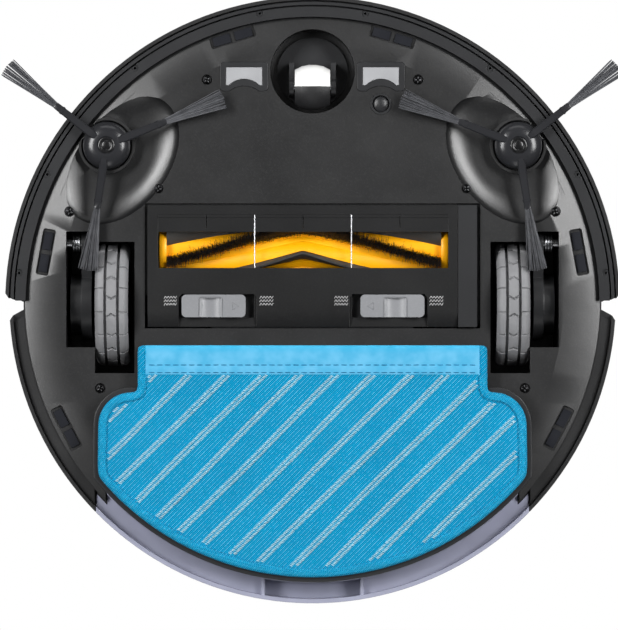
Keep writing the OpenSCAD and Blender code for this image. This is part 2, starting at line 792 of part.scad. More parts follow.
// One half of the barrel-shaped caster wheel
module caster_half(front)
    translate([0, caster_y + caster_trail, caster_r]) intersection() {
        rotate([0, 90, 0]) difference() {
            rotate_extrude() polygon([
                [0, -caster_w / 2], [caster_r * 0.78, -caster_w / 2],
                [caster_r * 0.94, -caster_w * 0.3], [caster_r, -caster_w * 0.1],
                [caster_r, caster_w * 0.1], [caster_r * 0.94, caster_w * 0.3],
                [caster_r * 0.78, caster_w / 2], [0, caster_w / 2]
            ]);
            cylinder(r = 1.5 + fit, h = caster_w + 2, center = true);
        }
        translate([-caster_w, front ? -2 * caster_r : 0, -caster_r * 2])
            cube([2 * caster_w, 2 * caster_r, 4 * caster_r]);
    }

module caster_wheel_light() color("#f2f2f0") caster_half(true);
module caster_wheel_dark() color("#1c1c1e") caster_half(false);

// ---- Side brushes: side is 1 on the left and -1 on the right ----

function arm_angle(side) = 90 - side * arm_turn; // direction of the first arm

HUB_Z = base_z - 6.4;                      // lowest point of the hub

module side_hub(side) color(dark)
    translate([side * hub_x, -hub_ahead, HUB_Z]) {
        intersection() {
            translate([0, 0, hub_r * 1.25]) sphere(r = hub_r * 1.3);
            cylinder(r = hub_r, h = 7.4);
        }
        translate([0, 0, 7.4 - eps]) cylinder(r = 3, h = dish_deep + wall + 6);
        for (i = [0:2]) rotate(arm_angle(side) + 120 * i)
            translate([hub_r - 4, 0, 2.2]) rotate([0, 3, 0])
                translate([0, -2.3, 0]) cube([stem_len - hub_r + 4, 4.6, 2.6]);
    }

module side_bristles(side) color("#5b5e63")
    translate([side * hub_x, -hub_ahead, HUB_Z])
        for (i = [0:2]) rotate(arm_angle(side) + 120 * i)
            translate([stem_len + 0.1, 0, 0.9]) rotate([0, 3.6, 0]) linear_extrude(2)
                polygon([
                    [0, -1.5], [bristle_len - stem_len, -4.4],
                    [bristle_len - stem_len, 4.4], [0, 1.5]
                ]);

// ---- Main brush ----

module roller_core() color("#f5b400") {
    bar_x(core_r, roller_x0 + 4, roller_x1 - 4, -roller_ahead, roller_z);
    bar_x(core_r + 4, roller_x0, roller_x0 + 4 + eps, -roller_ahead, roller_z);
    bar_x(core_r + 4, roller_x1 - 4 - eps, roller_x1, -roller_ahead, roller_z);
    bar_x(3, roller_x0 - 3.6, roller_x0 + eps, -roller_ahead, roller_z);
    bar_x(3, roller_x1 - eps, 90.5, -roller_ahead, roller_z);
}

module roller_bristles() color("#2a2622")
    translate([0, -roller_ahead, roller_z])
        for (a = [15:60:330]) rotate([a, 0, 0])
            translate([roller_x0 + 4.4, -1.2, core_r])
                cube([roller_x1 - roller_x0 - 8.8, 2.4, roller_r - core_r - 0.1]);

module brush_cover() color(black)
    difference() {
        union() {
            box(guard_x0, guard_x1, guard_y0, guard_y1, guard_z, guard_z + guard_t);
            box(guard_x0, guard_x1, slot_y1 + 16, guard_y1, guard_z, deck_z - gap);
            box(guard_x0, guard_x0 + 3, guard_y0, guard_y1, guard_z, deck_z - gap);
        }
        box(slot_x0, slot_x1, flap_y0, slot_y1, 0, deck_z);
        for (x = [latch_x_right, latch_x_left]) {
            dir = x < 0 ? 1 : -1;
            translate([x + dir * latch_travel / 2, latch_y, guard_z - 1]) linear_extrude(deck_z)
                square([latch_w + latch_travel + 2 * latch_gap, latch_d + 2 * latch_gap], center = true);
            // pocket around the latch, open to the rear
            translate([x + dir * latch_travel / 2, latch_y + 4, guard_z - 1])
                linear_extrude(1 + pocket_deep)
                    round_rect(latch_w + latch_travel + 2 * pocket_side, latch_d + 8, 3);
        }
        along_x(guard_x0 - 1, guard_x1 + 1) polygon([
            [bevel_y, guard_z - 1], [bevel_y, guard_z],
            [guard_y1 + 1, base_z], [guard_y1 + 1, guard_z - 1]
        ]);
    }

module cover_flaps() color("#1d1e20")
    difference() {
        union() {
            box(slot_x0, slot_x1, flap_y0, slot_y0, guard_z, guard_z + guard_t - eps);
            box(slot_x0, slot_x1, flap_y0, flap_y0 + flap_t, guard_z - flap_drop, guard_z + eps);
        }
        for (i = [1:FLAPS - 1]) {
            x = slot_x0 + flap_pitch * i;
            box(x - 0.2, x + 0.2, flap_y0 - 1, slot_y0 - 2, 0, deck_z);
        }
        for (x = WIRES)
            box(x - wire_w / 2 - 0.2, x + wire_w / 2 + 0.2, flap_y0 - 1, slot_y0 + 1, 0, guard_z + 0.6);
    }

module guard_wires() color("#e9e9e6")
    for (x = WIRES)
        box(x - wire_w / 2, x + wire_w / 2, flap_y0, slot_y1, guard_z - 0.7, guard_z + 0.5);

module cover_latch(x) color("#9a9ca0")
    translate([x, latch_y, guard_z - latch_proud]) difference() {
        linear_extrude(latch_t) round_rect(latch_w, latch_d, 2.6);
        // finger scoop, open at the rear edge
        translate([sign(x) * scoop_off, scoop_rim, 0]) {
            translate([0, 1, -1]) linear_extrude(1.6) round_rect(scoop_w, latch_d + 2, 2);
            translate([0, 0.7 - latch_d / 2, scoop_deep - scoop_r]) rotate([-90, 0, 0])
                cylinder(r = scoop_r, h = latch_d);
        }
    }

// ---- Water tank and mop ----

// Plan of the mop cloth's wide part; its rear edge follows the body
module mop_lobes(grow)
    offset(r = grow) intersection() {
        circle(r = mop_r, $fn = 180);
        hull() {
            both() translate([104.5, 71.5]) circle(r = 18.5, $fn = 48);
            both() translate([109.3, 92.8]) circle(r = 14, $fn = 48);
            translate([-117, 104]) square([234, mop_r]);
        }
    }

module mop_cloth() color("#2f9fcb")
    translate([0, 0, cloth_z]) linear_extrude(cloth_t) {
        mop_lobes(0);
        translate([-strip_hw, strip_y]) square([2 * strip_hw, 40]);
    }

module mop_plate() color(dark) {
    translate([0, 0, plate_z]) linear_extrude(plate_t) {
        mop_lobes(2.8);
        translate([-strip_hw + 1, strip_y + 1]) square([2 * strip_hw - 2, 40]);
    }
    intersection() {
        mid_box(100, tank_front + 4, mop_r, plate_z + plate_t - eps, tank_z);
        cylinder(r = mop_r - 12, h = body_h, $fn = 180);
    }
}

module water_tank() color("#8f8ca6")
    difference() {
        intersection() {
            translate([0, 0, 0]) tank_room(0);
            spun([
                [0, tank_z], [mop_r + 3, tank_z], [mop_r + 3, skirt_z + 1], [body_r - 2.4, skirt_z + 1],
                [body_r - 2.4, skirt_z], [body_r, skirt_z], [body_r, tank_top], [0, tank_top]
            ]);
        }
        intersection() {
            mid_box(tank_hw - wall, tank_front + wall, body_r, tank_z + wall, tank_top - wall);
            cylinder(r = mop_r, h = body_h, $fn = 180);
        }
        // recesses under the rear edge, with two ribs left between them
        difference() {
            ring(body_r - 2.4, mop_r + 4, 0, skirt_z + 5);
            both() translate([28.5, 0, 0]) box(-1, 1, 0, body_r, 0, body_h);
        }
        intersection() {
            ring(body_r - 2.4, mop_r + 4, 0, skirt_z + 12);
            mid_box(27.5, 0, body_r, 0, body_h);
        }
        translate([-70, tank_front + 30, 0]) translate([0, 0, tank_top - 5]) cylinder(r = 9, h = 9);
        mid_box(20, body_r - 6, body_r + 9, skirt_z + 14, tank_top - 8);
    }

module tank_plug() color(dark)
    translate([-70, tank_front + 30, tank_top - 3]) {
        cylinder(r = 8.8, h = 3);
    }

module tank_release() color(dark)
    intersection() {
        ring(body_r - 0.8, body_r - 2.8, skirt_z + 14.4, tank_top - 8.4);
        mid_box(19.6, body_r / 2, body_r + 9, 0, body_h);
    }

// ---- Bumper ----

// Plan area of the bumper, with rounded ends
module front_zone(cut = 0) {
    half = [
        [bumper_r - 6, 1 - cut], [bumper_r - 2, -1 - cut], [bumper_r, -4 - cut],
        [bumper_r + 9, -14 - cut], [bumper_r + 9, -bumper_r - 9]
    ];
    polygon(two_sided(half));
}

module window_zone(grow) {
    a = window_a + grow;
    translate([0, 0, 30 - grow]) linear_extrude(window_h + 2 * grow)
        polygon([[0, 0], [-300 * sin(a), -300 * cos(a)], [0, -400], [300 * sin(a), -300 * cos(a)]]);
}

module bumper_skin() color(black)
    difference() {
        intersection() {
            translate([0, bumper_shift, 0]) spun([
                [bumper_r - skin_t, bumper_z], [bumper_r, bumper_z], [bumper_r, body_h - 10.5],
                [bumper_r - 0.5, body_h - 8.1], [bumper_r - 1.7, body_h - 6.3],
                [bumper_r - 3.6, roof_z - 0.8], [bumper_r - 8, roof_z - 0.8],
                [bumper_r - 8, roof_z - 2.4], [bumper_r - 4.8, roof_z - 2.4],
                [bumper_r - 3.2, body_h - 9], [bumper_r - skin_t, body_h - 12]
            ]);
            linear_extrude(body_h) front_zone();
        }
        window_zone(0.1);
    }

module bumper_window() color("#141417")
    intersection() {
        translate([0, bumper_shift, 0]) ring(bumper_r - 0.2, bumper_r - skin_t + 0.1, 0, body_h);
        window_zone(0);
    }

module bumper_frame() color(dark)
    difference() {
        intersection() {
            translate([0, bumper_shift, 0]) spun([
                [flange_in, bumper_z], [flange_out, bumper_z], [flange_out, bumper_z + 5.7],
                [band_in, bumper_z + 5.7], [band_in, bumper_z + 0.5], [band_out, bumper_z + 0.5],
                [band_out, bumper_z + 5.7], [bumper_r - skin_t, bumper_z + 5.7],
                [bumper_r - skin_t, bumper_z + 8], [band_out, bumper_z + 8], [band_out, 28],
                [band_in, 28], [band_in, bumper_z + 8], [flange_out - 2.5, bumper_z + 8],
                [flange_out - 2.5, bumper_z + 1.5], [flange_in, bumper_z + 1.5]
            ]);
            linear_extrude(body_h) front_zone(0.6);
        }
        translate([0, bumper_shift, 0]) both() for (a = [10.3, 37, 64, 84])
            polar(a, flange_out - 1.25) {
                cylinder(r = 2.2, h = bumper_z + 1.2);
                cylinder(r = 0.75, h = bumper_z + 6);
            }
    }

// ---- Assembly ----

base_plate();
front_wall();
side_shell();
top_cover();
base_screws();
contact_bezels();
charge_contacts();
cliff_lenses();
carpet_sensor();
battery_pack();
main_board();
brush_housing();
brush_gearbox();
brush_motor();
dust_bin();
bin_filter();
fan_housing();
fan_impeller();
side_brush_motors();
wheel_housing();  // wheel_housing_left
mirror([1, 0, 0]) wheel_housing();  // wheel_housing_right
suspension_pins();
suspension_springs();
speaker();
water_pump();
lidar_base();
turret_cap();
lidar_rotor();
bumper_switches();
wheel_arm();  // wheel_arm_left
mirror([1, 0, 0]) wheel_arm();  // wheel_arm_right
wheel_rim();  // wheel_rim_left
mirror([1, 0, 0]) wheel_rim();  // wheel_rim_right
wheel_tyre();  // wheel_tyre_left
mirror([1, 0, 0]) wheel_tyre();  // wheel_tyre_right
caster_fork();
caster_axle();
caster_wheel_light();
caster_wheel_dark();
side_hub(1);  // side_hub_left
side_hub(-1);  // side_hub_right
side_bristles(1);  // side_bristles_left
side_bristles(-1);  // side_bristles_right
roller_core();
roller_bristles();
brush_cover();
cover_flaps();
guard_wires();
cover_latch(latch_x_left);  // cover_latch_left
cover_latch(latch_x_right);  // cover_latch_right
water_tank();
tank_plug();
tank_release();
mop_plate();
mop_cloth();
bumper_skin();
bumper_frame();
bumper_window();
top_lid();
start_button();
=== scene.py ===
"""Looks of the robot vacuum: materials, detailed pieces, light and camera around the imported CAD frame.

Metres, +Z up, -Y is the robot's front and +X its own left. The camera looks straight up at the underside.
"""
import json
import math
import random

import bmesh
import bpy
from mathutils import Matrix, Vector
from mathutils.geometry import delaunay_2d_cdt
from mathutils.kdtree import KDTree


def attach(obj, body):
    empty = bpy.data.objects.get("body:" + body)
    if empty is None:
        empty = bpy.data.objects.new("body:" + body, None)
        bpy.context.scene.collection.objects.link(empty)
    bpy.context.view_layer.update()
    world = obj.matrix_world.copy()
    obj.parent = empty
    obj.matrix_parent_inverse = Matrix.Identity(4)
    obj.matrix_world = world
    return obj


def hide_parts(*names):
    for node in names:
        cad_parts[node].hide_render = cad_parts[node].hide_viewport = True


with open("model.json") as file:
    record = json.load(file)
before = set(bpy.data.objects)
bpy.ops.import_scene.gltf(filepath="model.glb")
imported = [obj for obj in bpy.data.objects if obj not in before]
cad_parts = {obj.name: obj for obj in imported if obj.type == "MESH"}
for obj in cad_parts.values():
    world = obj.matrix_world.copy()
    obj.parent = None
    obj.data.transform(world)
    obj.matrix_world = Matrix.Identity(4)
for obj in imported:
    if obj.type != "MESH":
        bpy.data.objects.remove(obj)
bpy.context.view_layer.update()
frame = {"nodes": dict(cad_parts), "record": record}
MM = 0.001
TAU = 2 * math.pi


# ---- Camera: made first, straight below the robot ----

CAMERA_DEPTH = 2.4          # below the floor plane
FLOOR_MM_PER_PIXEL = 0.5735
IMAGE_W = 618
SENSOR = 36.0


def make_camera():
    data = bpy.data.cameras.new("camera")
    data.sensor_fit = "HORIZONTAL"
    data.sensor_width = SENSOR
    data.lens = SENSOR * CAMERA_DEPTH / (IMAGE_W * FLOOR_MM_PER_PIXEL * MM)
    data.shift_x = -3.5 / IMAGE_W
    data.shift_y = -15 / IMAGE_W
    data.clip_end = 20
    camera = bpy.data.objects.new("camera", data)
    camera.location = (0, 0, -CAMERA_DEPTH)
    camera.rotation_euler = (math.pi, 0, 0)
    bpy.context.scene.collection.objects.link(camera)
    bpy.context.scene.camera = camera


make_camera()


# ---- Material building ----

def nd(tree, kind, inputs=None, **props):
    """A shader node; each input is a value, or an output socket to link."""
    n = tree.nodes.new(kind)
    for k, v in props.items():
        setattr(n, k, v)
    for k, v in (inputs or {}).items():
        if isinstance(v, bpy.types.NodeSocket):
            tree.links.new(v, n.inputs[k])
        else:
            n.inputs[k].default_value = v
    return n


def rgba(c):
    return (c[0], c[1], c[2], 1.0)


def place(tree, scale=1.0):
    """Position on the object, in metres, times scale."""
    co = nd(tree, "ShaderNodeTexCoord").outputs["Object"]
    if scale == 1.0:
        return co
    return nd(tree, "ShaderNodeVectorMath", {0: co, 1: (scale,) * 3}, operation="MULTIPLY").outputs[0]


def noise(tree, vec, scale, detail=2.0, rough=0.5):
    inputs = {"Vector": vec, "Scale": scale, "Detail": detail, "Roughness": rough}
    return nd(tree, "ShaderNodeTexNoise", inputs).outputs["Fac"]


def ramp(tree, fac, low, high, a=0.0, b=1.0):
    """Maps fac from [low, high] to [a, b], clamped."""
    inputs = {"Value": fac, "From Min": low, "From Max": high, "To Min": a, "To Max": b}
    return nd(tree, "ShaderNodeMapRange", inputs).outputs["Result"]


def blend_colours(tree, fac, a, b):
    n = nd(tree, "ShaderNodeMix", data_type="RGBA")
    for socket, v in ((n.inputs["Factor"], fac), (n.inputs[6], a), (n.inputs[7], b)):
        if isinstance(v, bpy.types.NodeSocket):
            tree.links.new(v, socket)
        else:
            socket.default_value = v if isinstance(v, float) else rgba(v)
    return n.outputs[2]


def math_node(tree, op, a, b=0.0):
    return nd(tree, "ShaderNodeMath", {0: a, 1: b}, operation=op).outputs[0]


def bump(tree, height, strength, distance):
    inputs = {"Height": height, "Strength": strength, "Distance": distance}
    return nd(tree, "ShaderNodeBump", inputs).outputs["Normal"]


def new_material(name, **sockets):
    """A material with its tree and shader; a socket is named with _ for each space."""
    mat = bpy.data.materials.new(name)
    mat.use_nodes = True
    tree = mat.node_tree
    shader = tree.nodes["Principled BSDF"]
    for k, v in sockets.items():
        shader.inputs[k.replace("_", " ")].default_value = v
    return mat, tree, shader


def moulded(name, colour, rough, grain=1100, grain_bump=0.3, speckle=0.5, **sockets):
    """Spark-eroded moulded plastic: fine grain, faint flow marks, slightly uneven gloss."""
    mat, tree, shader = new_material(name, **sockets)
    at = place(tree)
    fine = noise(tree, at, grain, 3.0, 0.6)
    broad = noise(tree, at, 28, 3.0, 0.55)
    dust = ramp(tree, noise(tree, at, grain * 0.8, 2.0, 0.7), 0.5, 0.72)
    lighter = [min(1.0, c * 1.5 + 0.012) for c in colour]
    tint = blend_colours(tree, ramp(tree, broad, 0.35, 0.7), colour, [c * 1.1 for c in colour])
    tint = blend_colours(tree, math_node(tree, "MULTIPLY", dust, speckle), tint, lighter)
    tree.links.new(tint, shader.inputs["Base Color"])
    tree.links.new(ramp(tree, broad, 0.3, 0.75, rough - 0.02, rough + 0.03), shader.inputs["Roughness"])
    tree.links.new(bump(tree, fine, grain_bump, 0.00012), shader.inputs["Normal"])
    return mat


def glossy(name, colour, rough):
    """Smooth shiny plastic with faint ripple and rub marks."""
    mat, tree, shader = new_material(name)
    at = place(tree)
    ripple = noise(tree, at, 60, 2.0)
    rub = noise(tree, at, 420, 4.0, 0.7)
    lighter = [min(1, c * 1.1 + 0.003) for c in colour]
    tint = blend_colours(tree, ramp(tree, ripple, 0.3, 0.7), colour, lighter)
    tree.links.new(tint, shader.inputs["Base Color"])
    tree.links.new(ramp(tree, rub, 0.4, 0.8, rough, rough + 0.1), shader.inputs["Roughness"])
    tree.links.new(bump(tree, ripple, 0.04, 0.0006), shader.inputs["Normal"])
    return mat


def metal(name, colour, rough=0.28, stretch=(1, 1, 14), scale=700, metallic=1.0):
    """Drawn, brushed or plated metal."""
    mat, tree, shader = new_material(name, Metallic=metallic)
    inputs = {0: place(tree), 1: stretch}
    at = nd(tree, "ShaderNodeVectorMath", inputs, operation="MULTIPLY").outputs[0]
    lines = noise(tree, at, scale, 3.0, 0.6)
    tint = blend_colours(tree, lines, [c * 0.86 for c in colour], colour)
    tree.links.new(tint, shader.inputs["Base Color"])
    tree.links.new(ramp(tree, lines, 0.3, 0.7, rough - 0.06, rough + 0.1), shader.inputs["Roughness"])
    tree.links.new(bump(tree, lines, 0.12, 0.00008), shader.inputs["Normal"])
    return mat


def rubber(name, colour, rough=0.62, scale=900):
    """Moulded rubber with dust in its pores."""
    mat, tree, shader = new_material(name)
    at = place(tree)
    pores = noise(tree, at, scale, 4.0, 0.65)
    dusty = ramp(tree, noise(tree, at, 55, 4.0, 0.6), 0.42, 0.72)
    tint = blend_colours(tree, dusty, colour, [min(1, c * 1.22 + 0.01) for c in colour])
    tint = blend_colours(tree, ramp(tree, pores, 0.6, 0.75, 0, 0.3), tint, [c * 0.7 for c in colour])
    tree.links.new(tint, shader.inputs["Base Color"])
    tree.links.new(ramp(tree, pores, 0.3, 0.8, rough - 0.06, rough + 0.14), shader.inputs["Roughness"])
    tree.links.new(bump(tree, pores, 0.35, 0.00015), shader.inputs["Normal"])
    return mat


BLACK = moulded("black_plastic", (0.0045, 0.0046, 0.0051), 0.37, speckle=0.7, Specular_IOR_Level=1.0)
COVER = moulded("cover_black", (0.0040, 0.0041, 0.0045), 0.42, speckle=0.35)
DARK = moulded("dark_plastic", (0.018, 0.0185, 0.020), 0.38, grain=2200, speckle=0.3)
SATIN = moulded("satin_black", (0.006, 0.0061, 0.0066), 0.26, grain=2600, grain_bump=0.12)
GREY = moulded("grey_plastic", (0.215, 0.219, 0.23), 0.36, speckle=0.2)
SMOKE = glossy("smoke_window", (0.006, 0.006, 0.008), 0.07)
LENS = glossy("cliff_lens", (0.016, 0.017, 0.021), 0.16)
WHITE = glossy("white_plastic", (0.82, 0.82, 0.81), 0.2)
YELLOW = glossy("yellow_plastic", (1.0, 0.42, 0.0), 0.36)
TANK = glossy("tank_plastic", (0.31, 0.32, 0.41), 0.14)
STEEL = metal("steel", (0.55, 0.56, 0.58))
BRIGHT = metal("bright_metal", (0.40, 0.405, 0.42), 0.5, (1, 1, 1), 90, metallic=0.35)
TYRE = rubber("grey_rubber", (0.205, 0.206, 0.214))
RUBBER = rubber("black_rubber", (0.012, 0.012, 0.013), 0.5)
BOARD = moulded("circuit_board", (0.01, 0.075, 0.03), 0.3)
WRAP = glossy("battery_wrap", (0.02, 0.07, 0.2), 0.25)
FILTER = rubber("filter_media", (0.6, 0.58, 0.5), 0.85, 400)

# The mop cloth, in millimetres; its stripes and ribs run slantwise
BAND_HW = 96.0              # half the length of the plain hook band
BAND_FRONT = 26.0
BAND_REAR = 42.5
STRIPE_STEP = 21.1 / math.sqrt(2)
STRIPE_AT = 14.6 / math.sqrt(2)
KNIT_PITCH = 0.933          # width of a column of stitches
RIB_PITCH = 1.865           # from one pale thread to the next
RIB_PHASE = STRIPE_AT + RIB_PITCH / 4 * 3
STITCH_LEN = 0.9
SLANT = 0.7071              # the shader's sine and cosine of 45 degrees

FABRIC_BLUE = (0.001, 0.41, 0.70)
# deep blue, used for painted shade in the hollows of the weave and for random darker patches
FABRIC_SHADE_AND_PATCH = (0.000, 0.145, 0.30)
FABRIC_PALE = (0.20, 0.58, 0.76)
BAND_BLUE = (0.070, 0.37, 0.60)
BAND_PALE = (0.12, 0.43, 0.66)


def waves(tree, along, pitch):
    return math_node(tree, "SINE", math_node(tree, "MULTIPLY", along, TAU / pitch))


def weave_height(tree, at, u, v):
    """Zigzag columns of stitches with rows across them and loose fibres on top."""
    fuzz = noise(tree, at, 1.4, 4.0, 0.7)
    zig = math_node(tree, "MULTIPLY", math_node(tree, "PINGPONG", u, 0.55), 3.2)
    columns = math_node(tree, "MULTIPLY", v, TAU / KNIT_PITCH)
    knit = math_node(tree, "SINE", math_node(tree, "ADD", columns, zig))
    rows = waves(tree, u, STITCH_LEN)
    weave = math_node(tree, "MULTIPLY", knit, 0.5)
    weave = math_node(tree, "ADD", weave, math_node(tree, "MULTIPLY", rows, 0.3))
    return math_node(tree, "ADD", weave, math_node(tree, "MULTIPLY", fuzz, 0.9))


def pale_ribs(tree, at, v):
    """How much of the pale thread shows; it runs along every second rib and is broken here and there."""
    line = waves(tree, math_node(tree, "SUBTRACT", v, RIB_PHASE), RIB_PITCH)
    line = ramp(tree, line, 0.86, 0.99, 0.0, 0.8)
    return math_node(tree, "MULTIPLY", line, ramp(tree, noise(tree, at, 0.9, 2.0), 0.38, 0.55))


def band_colour(tree, at, y):
    cloud = noise(tree, at, 0.12, 2.0)
    plain = blend_colours(tree, ramp(tree, cloud, 0.35, 0.65), BAND_BLUE, BAND_PALE)
    return blend_colours(tree, ramp(tree, y, BAND_FRONT, BAND_FRONT + 5, 0.5, 0.0), plain, FABRIC_BLUE)


def fabric():
    """Blue microfibre: zigzag weave between fine ribs, with painted shade in the low parts of the weave and its
    raised parts painted brighter.
    """
    mat, tree, shader = new_material("mop_microfibre", Roughness=0.9, Sheen_Weight=0.06,
                                     Sheen_Roughness=0.5, Specular_IOR_Level=0.12)
    at = place(tree, 1000.0)
    x, y, _ = nd(tree, "ShaderNodeSeparateXYZ", {0: at}).outputs
    u = math_node(tree, "MULTIPLY", math_node(tree, "SUBTRACT", x, y), SLANT)
    v = math_node(tree, "MULTIPLY", math_node(tree, "ADD", x, y), SLANT)
    weave = weave_height(tree, at, u, v)
    # painted shade: the colour follows the weave's bump height, deep blue in its hollows and plain blue on its
    # raised parts
    tint = blend_colours(tree, ramp(tree, weave, 0.0, 1.1), FABRIC_SHADE_AND_PATCH, FABRIC_BLUE)
    tint = blend_colours(tree, pale_ribs(tree, at, v), tint, FABRIC_PALE)
    patch = noise(tree, at, 0.035, 3.0)
    tint = blend_colours(tree, ramp(tree, patch, 0.3, 0.7, 0.0, 0.25), tint, FABRIC_SHADE_AND_PATCH)
    band = math_node(tree, "MULTIPLY", math_node(tree, "LESS_THAN", y, BAND_REAR + 0.2),
                     math_node(tree, "LESS_THAN", math_node(tree, "ABSOLUTE", x), BAND_HW - 0.2))
    tint = blend_colours(tree, band, tint, band_colour(tree, at, y))
    tree.links.new(tint, shader.inputs["Base Color"])
    soft = math_node(tree, "SUBTRACT", 1.0, math_node(tree, "MULTIPLY", band, 0.85))
    height = math_node(tree, "MULTIPLY", weave, soft)
    tree.links.new(bump(tree, height, 0.6, 0.00022), shader.inputs["Normal"])
    return mat


def yarn(name, colour):
    """Fuzzy thread."""
    mat, tree, shader = new_material(name, Roughness=0.8)
    at = place(tree)
    fibre = noise(tree, at, 2500, 3.0, 0.7)
    patch = noise(tree, at, 120, 2.0)
    lighter = [min(1, c * 1.18) for c in colour]
    tint = blend_colours(tree, fibre, [c * 0.72 for c in colour], lighter)
    tint = blend_colours(tree, ramp(tree, patch, 0.35, 0.7, 0, 0.25), tint, [c * 0.6 for c in colour])
    tree.links.new(tint, shader.inputs["Base Color"])
    tree.links.new(bump(tree, fibre, 0.4, 0.00008), shader.inputs["Normal"])
    return mat


def hair(name, dark, light, rough=0.45):
    """Nylon filaments, each of its own shade."""
    mat, tree, shader = new_material(name)
    each = nd(tree, "ShaderNodeNewGeometry").outputs["Random Per Island"]
    bunch = noise(tree, place(tree), 260, 1.0)
    mix = math_node(tree, "ADD", math_node(tree, "MULTIPLY", each, 0.6),
                    math_node(tree, "MULTIPLY", bunch, 0.4))
    tint = blend_colours(tree, ramp(tree, mix, 0.15, 0.85), dark, light)
    tree.links.new(tint, shader.inputs["Base Color"])
    tree.links.new(ramp(tree, each, 0.0, 1.0, rough - 0.1, rough + 0.12), shader.inputs["Roughness"])
    return mat


CLOTH = fabric()
SCRUB = yarn("scrub_thread", (0.40, 0.62, 0.69))
SEAM = yarn("seam_thread", (0.0, 0.17, 0.34))
THREAD = yarn("border_thread", (0.002, 0.36, 0.60))
HAIR = hair("side_hair", (0.030, 0.031, 0.035), (0.15, 0.153, 0.165))
DARK_HAIR = hair("roller_hair", (0.008, 0.006, 0.005), (0.05, 0.036, 0.026), 0.5)
HUB_PLASTIC = moulded("hub_plastic", (0.020, 0.0205, 0.023), 0.24, grain=2400, grain_bump=0.08,
                      speckle=0.1)
FLAP_RUBBER = rubber("flap_rubber", (0.035, 0.034, 0.032), 0.5)
SCREW = metal("screw_black", (0.015, 0.015, 0.016), 0.35, (1, 1, 1), 900)
PRINT = moulded("white_print", (0.42, 0.42, 0.42), 0.6, speckle=0.1)

LOOKS = {
    "black_plastic": BLACK, "dark_plastic": DARK, "smoke_window": SMOKE, "grey_plastic": GREY,
    "white_plastic": WHITE, "yellow_plastic": YELLOW, "tank_plastic": TANK, "grey_rubber": TYRE,
    "black_rubber": RUBBER, "bristle_grey": DARK, "bristle_black": BLACK, "steel": STEEL,
    "bright_metal": BRIGHT, "mop_fabric": TYRE, "circuit_board": BOARD, "battery_wrap": WRAP,
    "filter_media": FILTER,
}
NODE_SLOT = {row["node"]: row["material_slot"] for row in frame["record"]["subparts"]}


def set_material(obj, mat):
    obj.data.materials.clear()
    obj.data.materials.append(mat)


for node_name, node_obj in frame["nodes"].items():
    set_material(node_obj, LOOKS[NODE_SLOT[node_name]])
set_material(frame["nodes"]["cliff_lenses"], LENS)


# ---- Floor, backdrop and light ----

def make_floor():
    """A pale floor seen only from above, so that the camera below looks past it."""
    bpy.ops.mesh.primitive_plane_add(size=8, location=(0, 0, -0.2 * MM))
    floor = bpy.context.object
    floor.name = "floor"
    mat, tree, shader = new_material("floor_paint", Roughness=0.55)
    at = place(tree)
    tint = blend_colours(tree, noise(tree, at, 3, 3.0), (0.70, 0.70, 0.70), (0.75, 0.75, 0.75))
    tree.links.new(tint, shader.inputs["Base Color"])
    clear = nd(tree, "ShaderNodeBsdfTransparent").outputs[0]
    under = nd(tree, "ShaderNodeNewGeometry").outputs["Backfacing"]
    mix = nd(tree, "ShaderNodeMixShader", {0: under, 1: shader.outputs[0], 2: clear})
    tree.links.new(mix.outputs[0], tree.nodes["Material Output"].inputs["Surface"])
    set_material(floor, mat)
    for ray in ("shadow", "diffuse", "glossy", "transmission"):
        setattr(floor, f"visible_{ray}", False)


LIGHT_TARGET = Vector((0, 0, 0.03))


def area_light(name, at, size, watts, size_y=None):
    """An area light aimed at the robot; for one below, size runs front to rear."""
    data = bpy.data.lights.new(name, "AREA")
    data.energy = watts
    data.shape = "RECTANGLE"
    data.size = size
    data.size_y = size_y or size
    light = bpy.data.objects.new(name, data)
    light.location = at
    light.rotation_euler = (LIGHT_TARGET - light.location).to_track_quat("-Z", "Y").to_euler()
    light.visible_camera = False
    bpy.context.scene.collection.objects.link(light)


def make_world():
    """White behind everything that the camera sees, and a faint fill for the rest."""
    world = bpy.data.worlds.new("studio")
    world.use_nodes = True
    bg = world.node_tree.nodes["Background"]
    bg.inputs["Color"].default_value = (1, 1, 1, 1)
    bg.inputs["Strength"].default_value = 0.05
    tree = world.node_tree
    white = nd(tree, "ShaderNodeBackground", {"Color": (1, 1, 1, 1), "Strength": 1.0})
    seen = nd(tree, "ShaderNodeLightPath").outputs["Is Camera Ray"]
    mix = nd(tree, "ShaderNodeMixShader", {0: seen, 1: bg.outputs[0], 2: white.outputs[0]})
    tree.links.new(mix.outputs[0], tree.nodes["World Output"].inputs["Surface"])
    bpy.context.scene.world = world
    bpy.context.scene.view_settings.view_transform = "Standard"


def make_lights():
    # below: two long boxes at the sides, whose reflections the sloping edges catch
    for side in (-1, 1):
        area_light(f"side_box_{side + 1}", (side * 1.32, -0.5, -1.45), 1.4, 40, size_y=0.6)
    area_light("front_box", (0, -2.0, -0.8), 1.6, 4, size_y=0.5)
    area_light("rear_box", (0, 2.1, -1.0), 0.6, 5, size_y=1.6)
    # above: for the views of the top and the sides
    area_light("key_above", (1.4, -1.4, 2.2), 1.4, 45)
    area_light("fill_above", (-1.8, -0.4, 1.8), 1.6, 26)
    area_light("back_above", (0.2, 2.0, 1.6), 1.4, 26)


make_floor()
make_world()
make_lights()


# ---- Mesh building, in millimetres ----

NODE_BODY = {n: b for b, names in frame["record"]["behaviour"]["bodies"].items() for n in names}


def smooth_by_angle(mesh, degrees):
    mesh.polygons.foreach_set("use_smooth", [True] * len(mesh.polygons))
    mesh.set_sharp_from_angle(angle=math.radians(degrees))


def add_piece(name, mesh, mat, body, slot, replaces=()):
    obj = bpy.data.objects.new(name, mesh)
    bpy.context.scene.collection.objects.link(obj)
    set_material(obj, mat)
    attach(obj, body)
    if replaces:
        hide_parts(*replaces)
    return obj


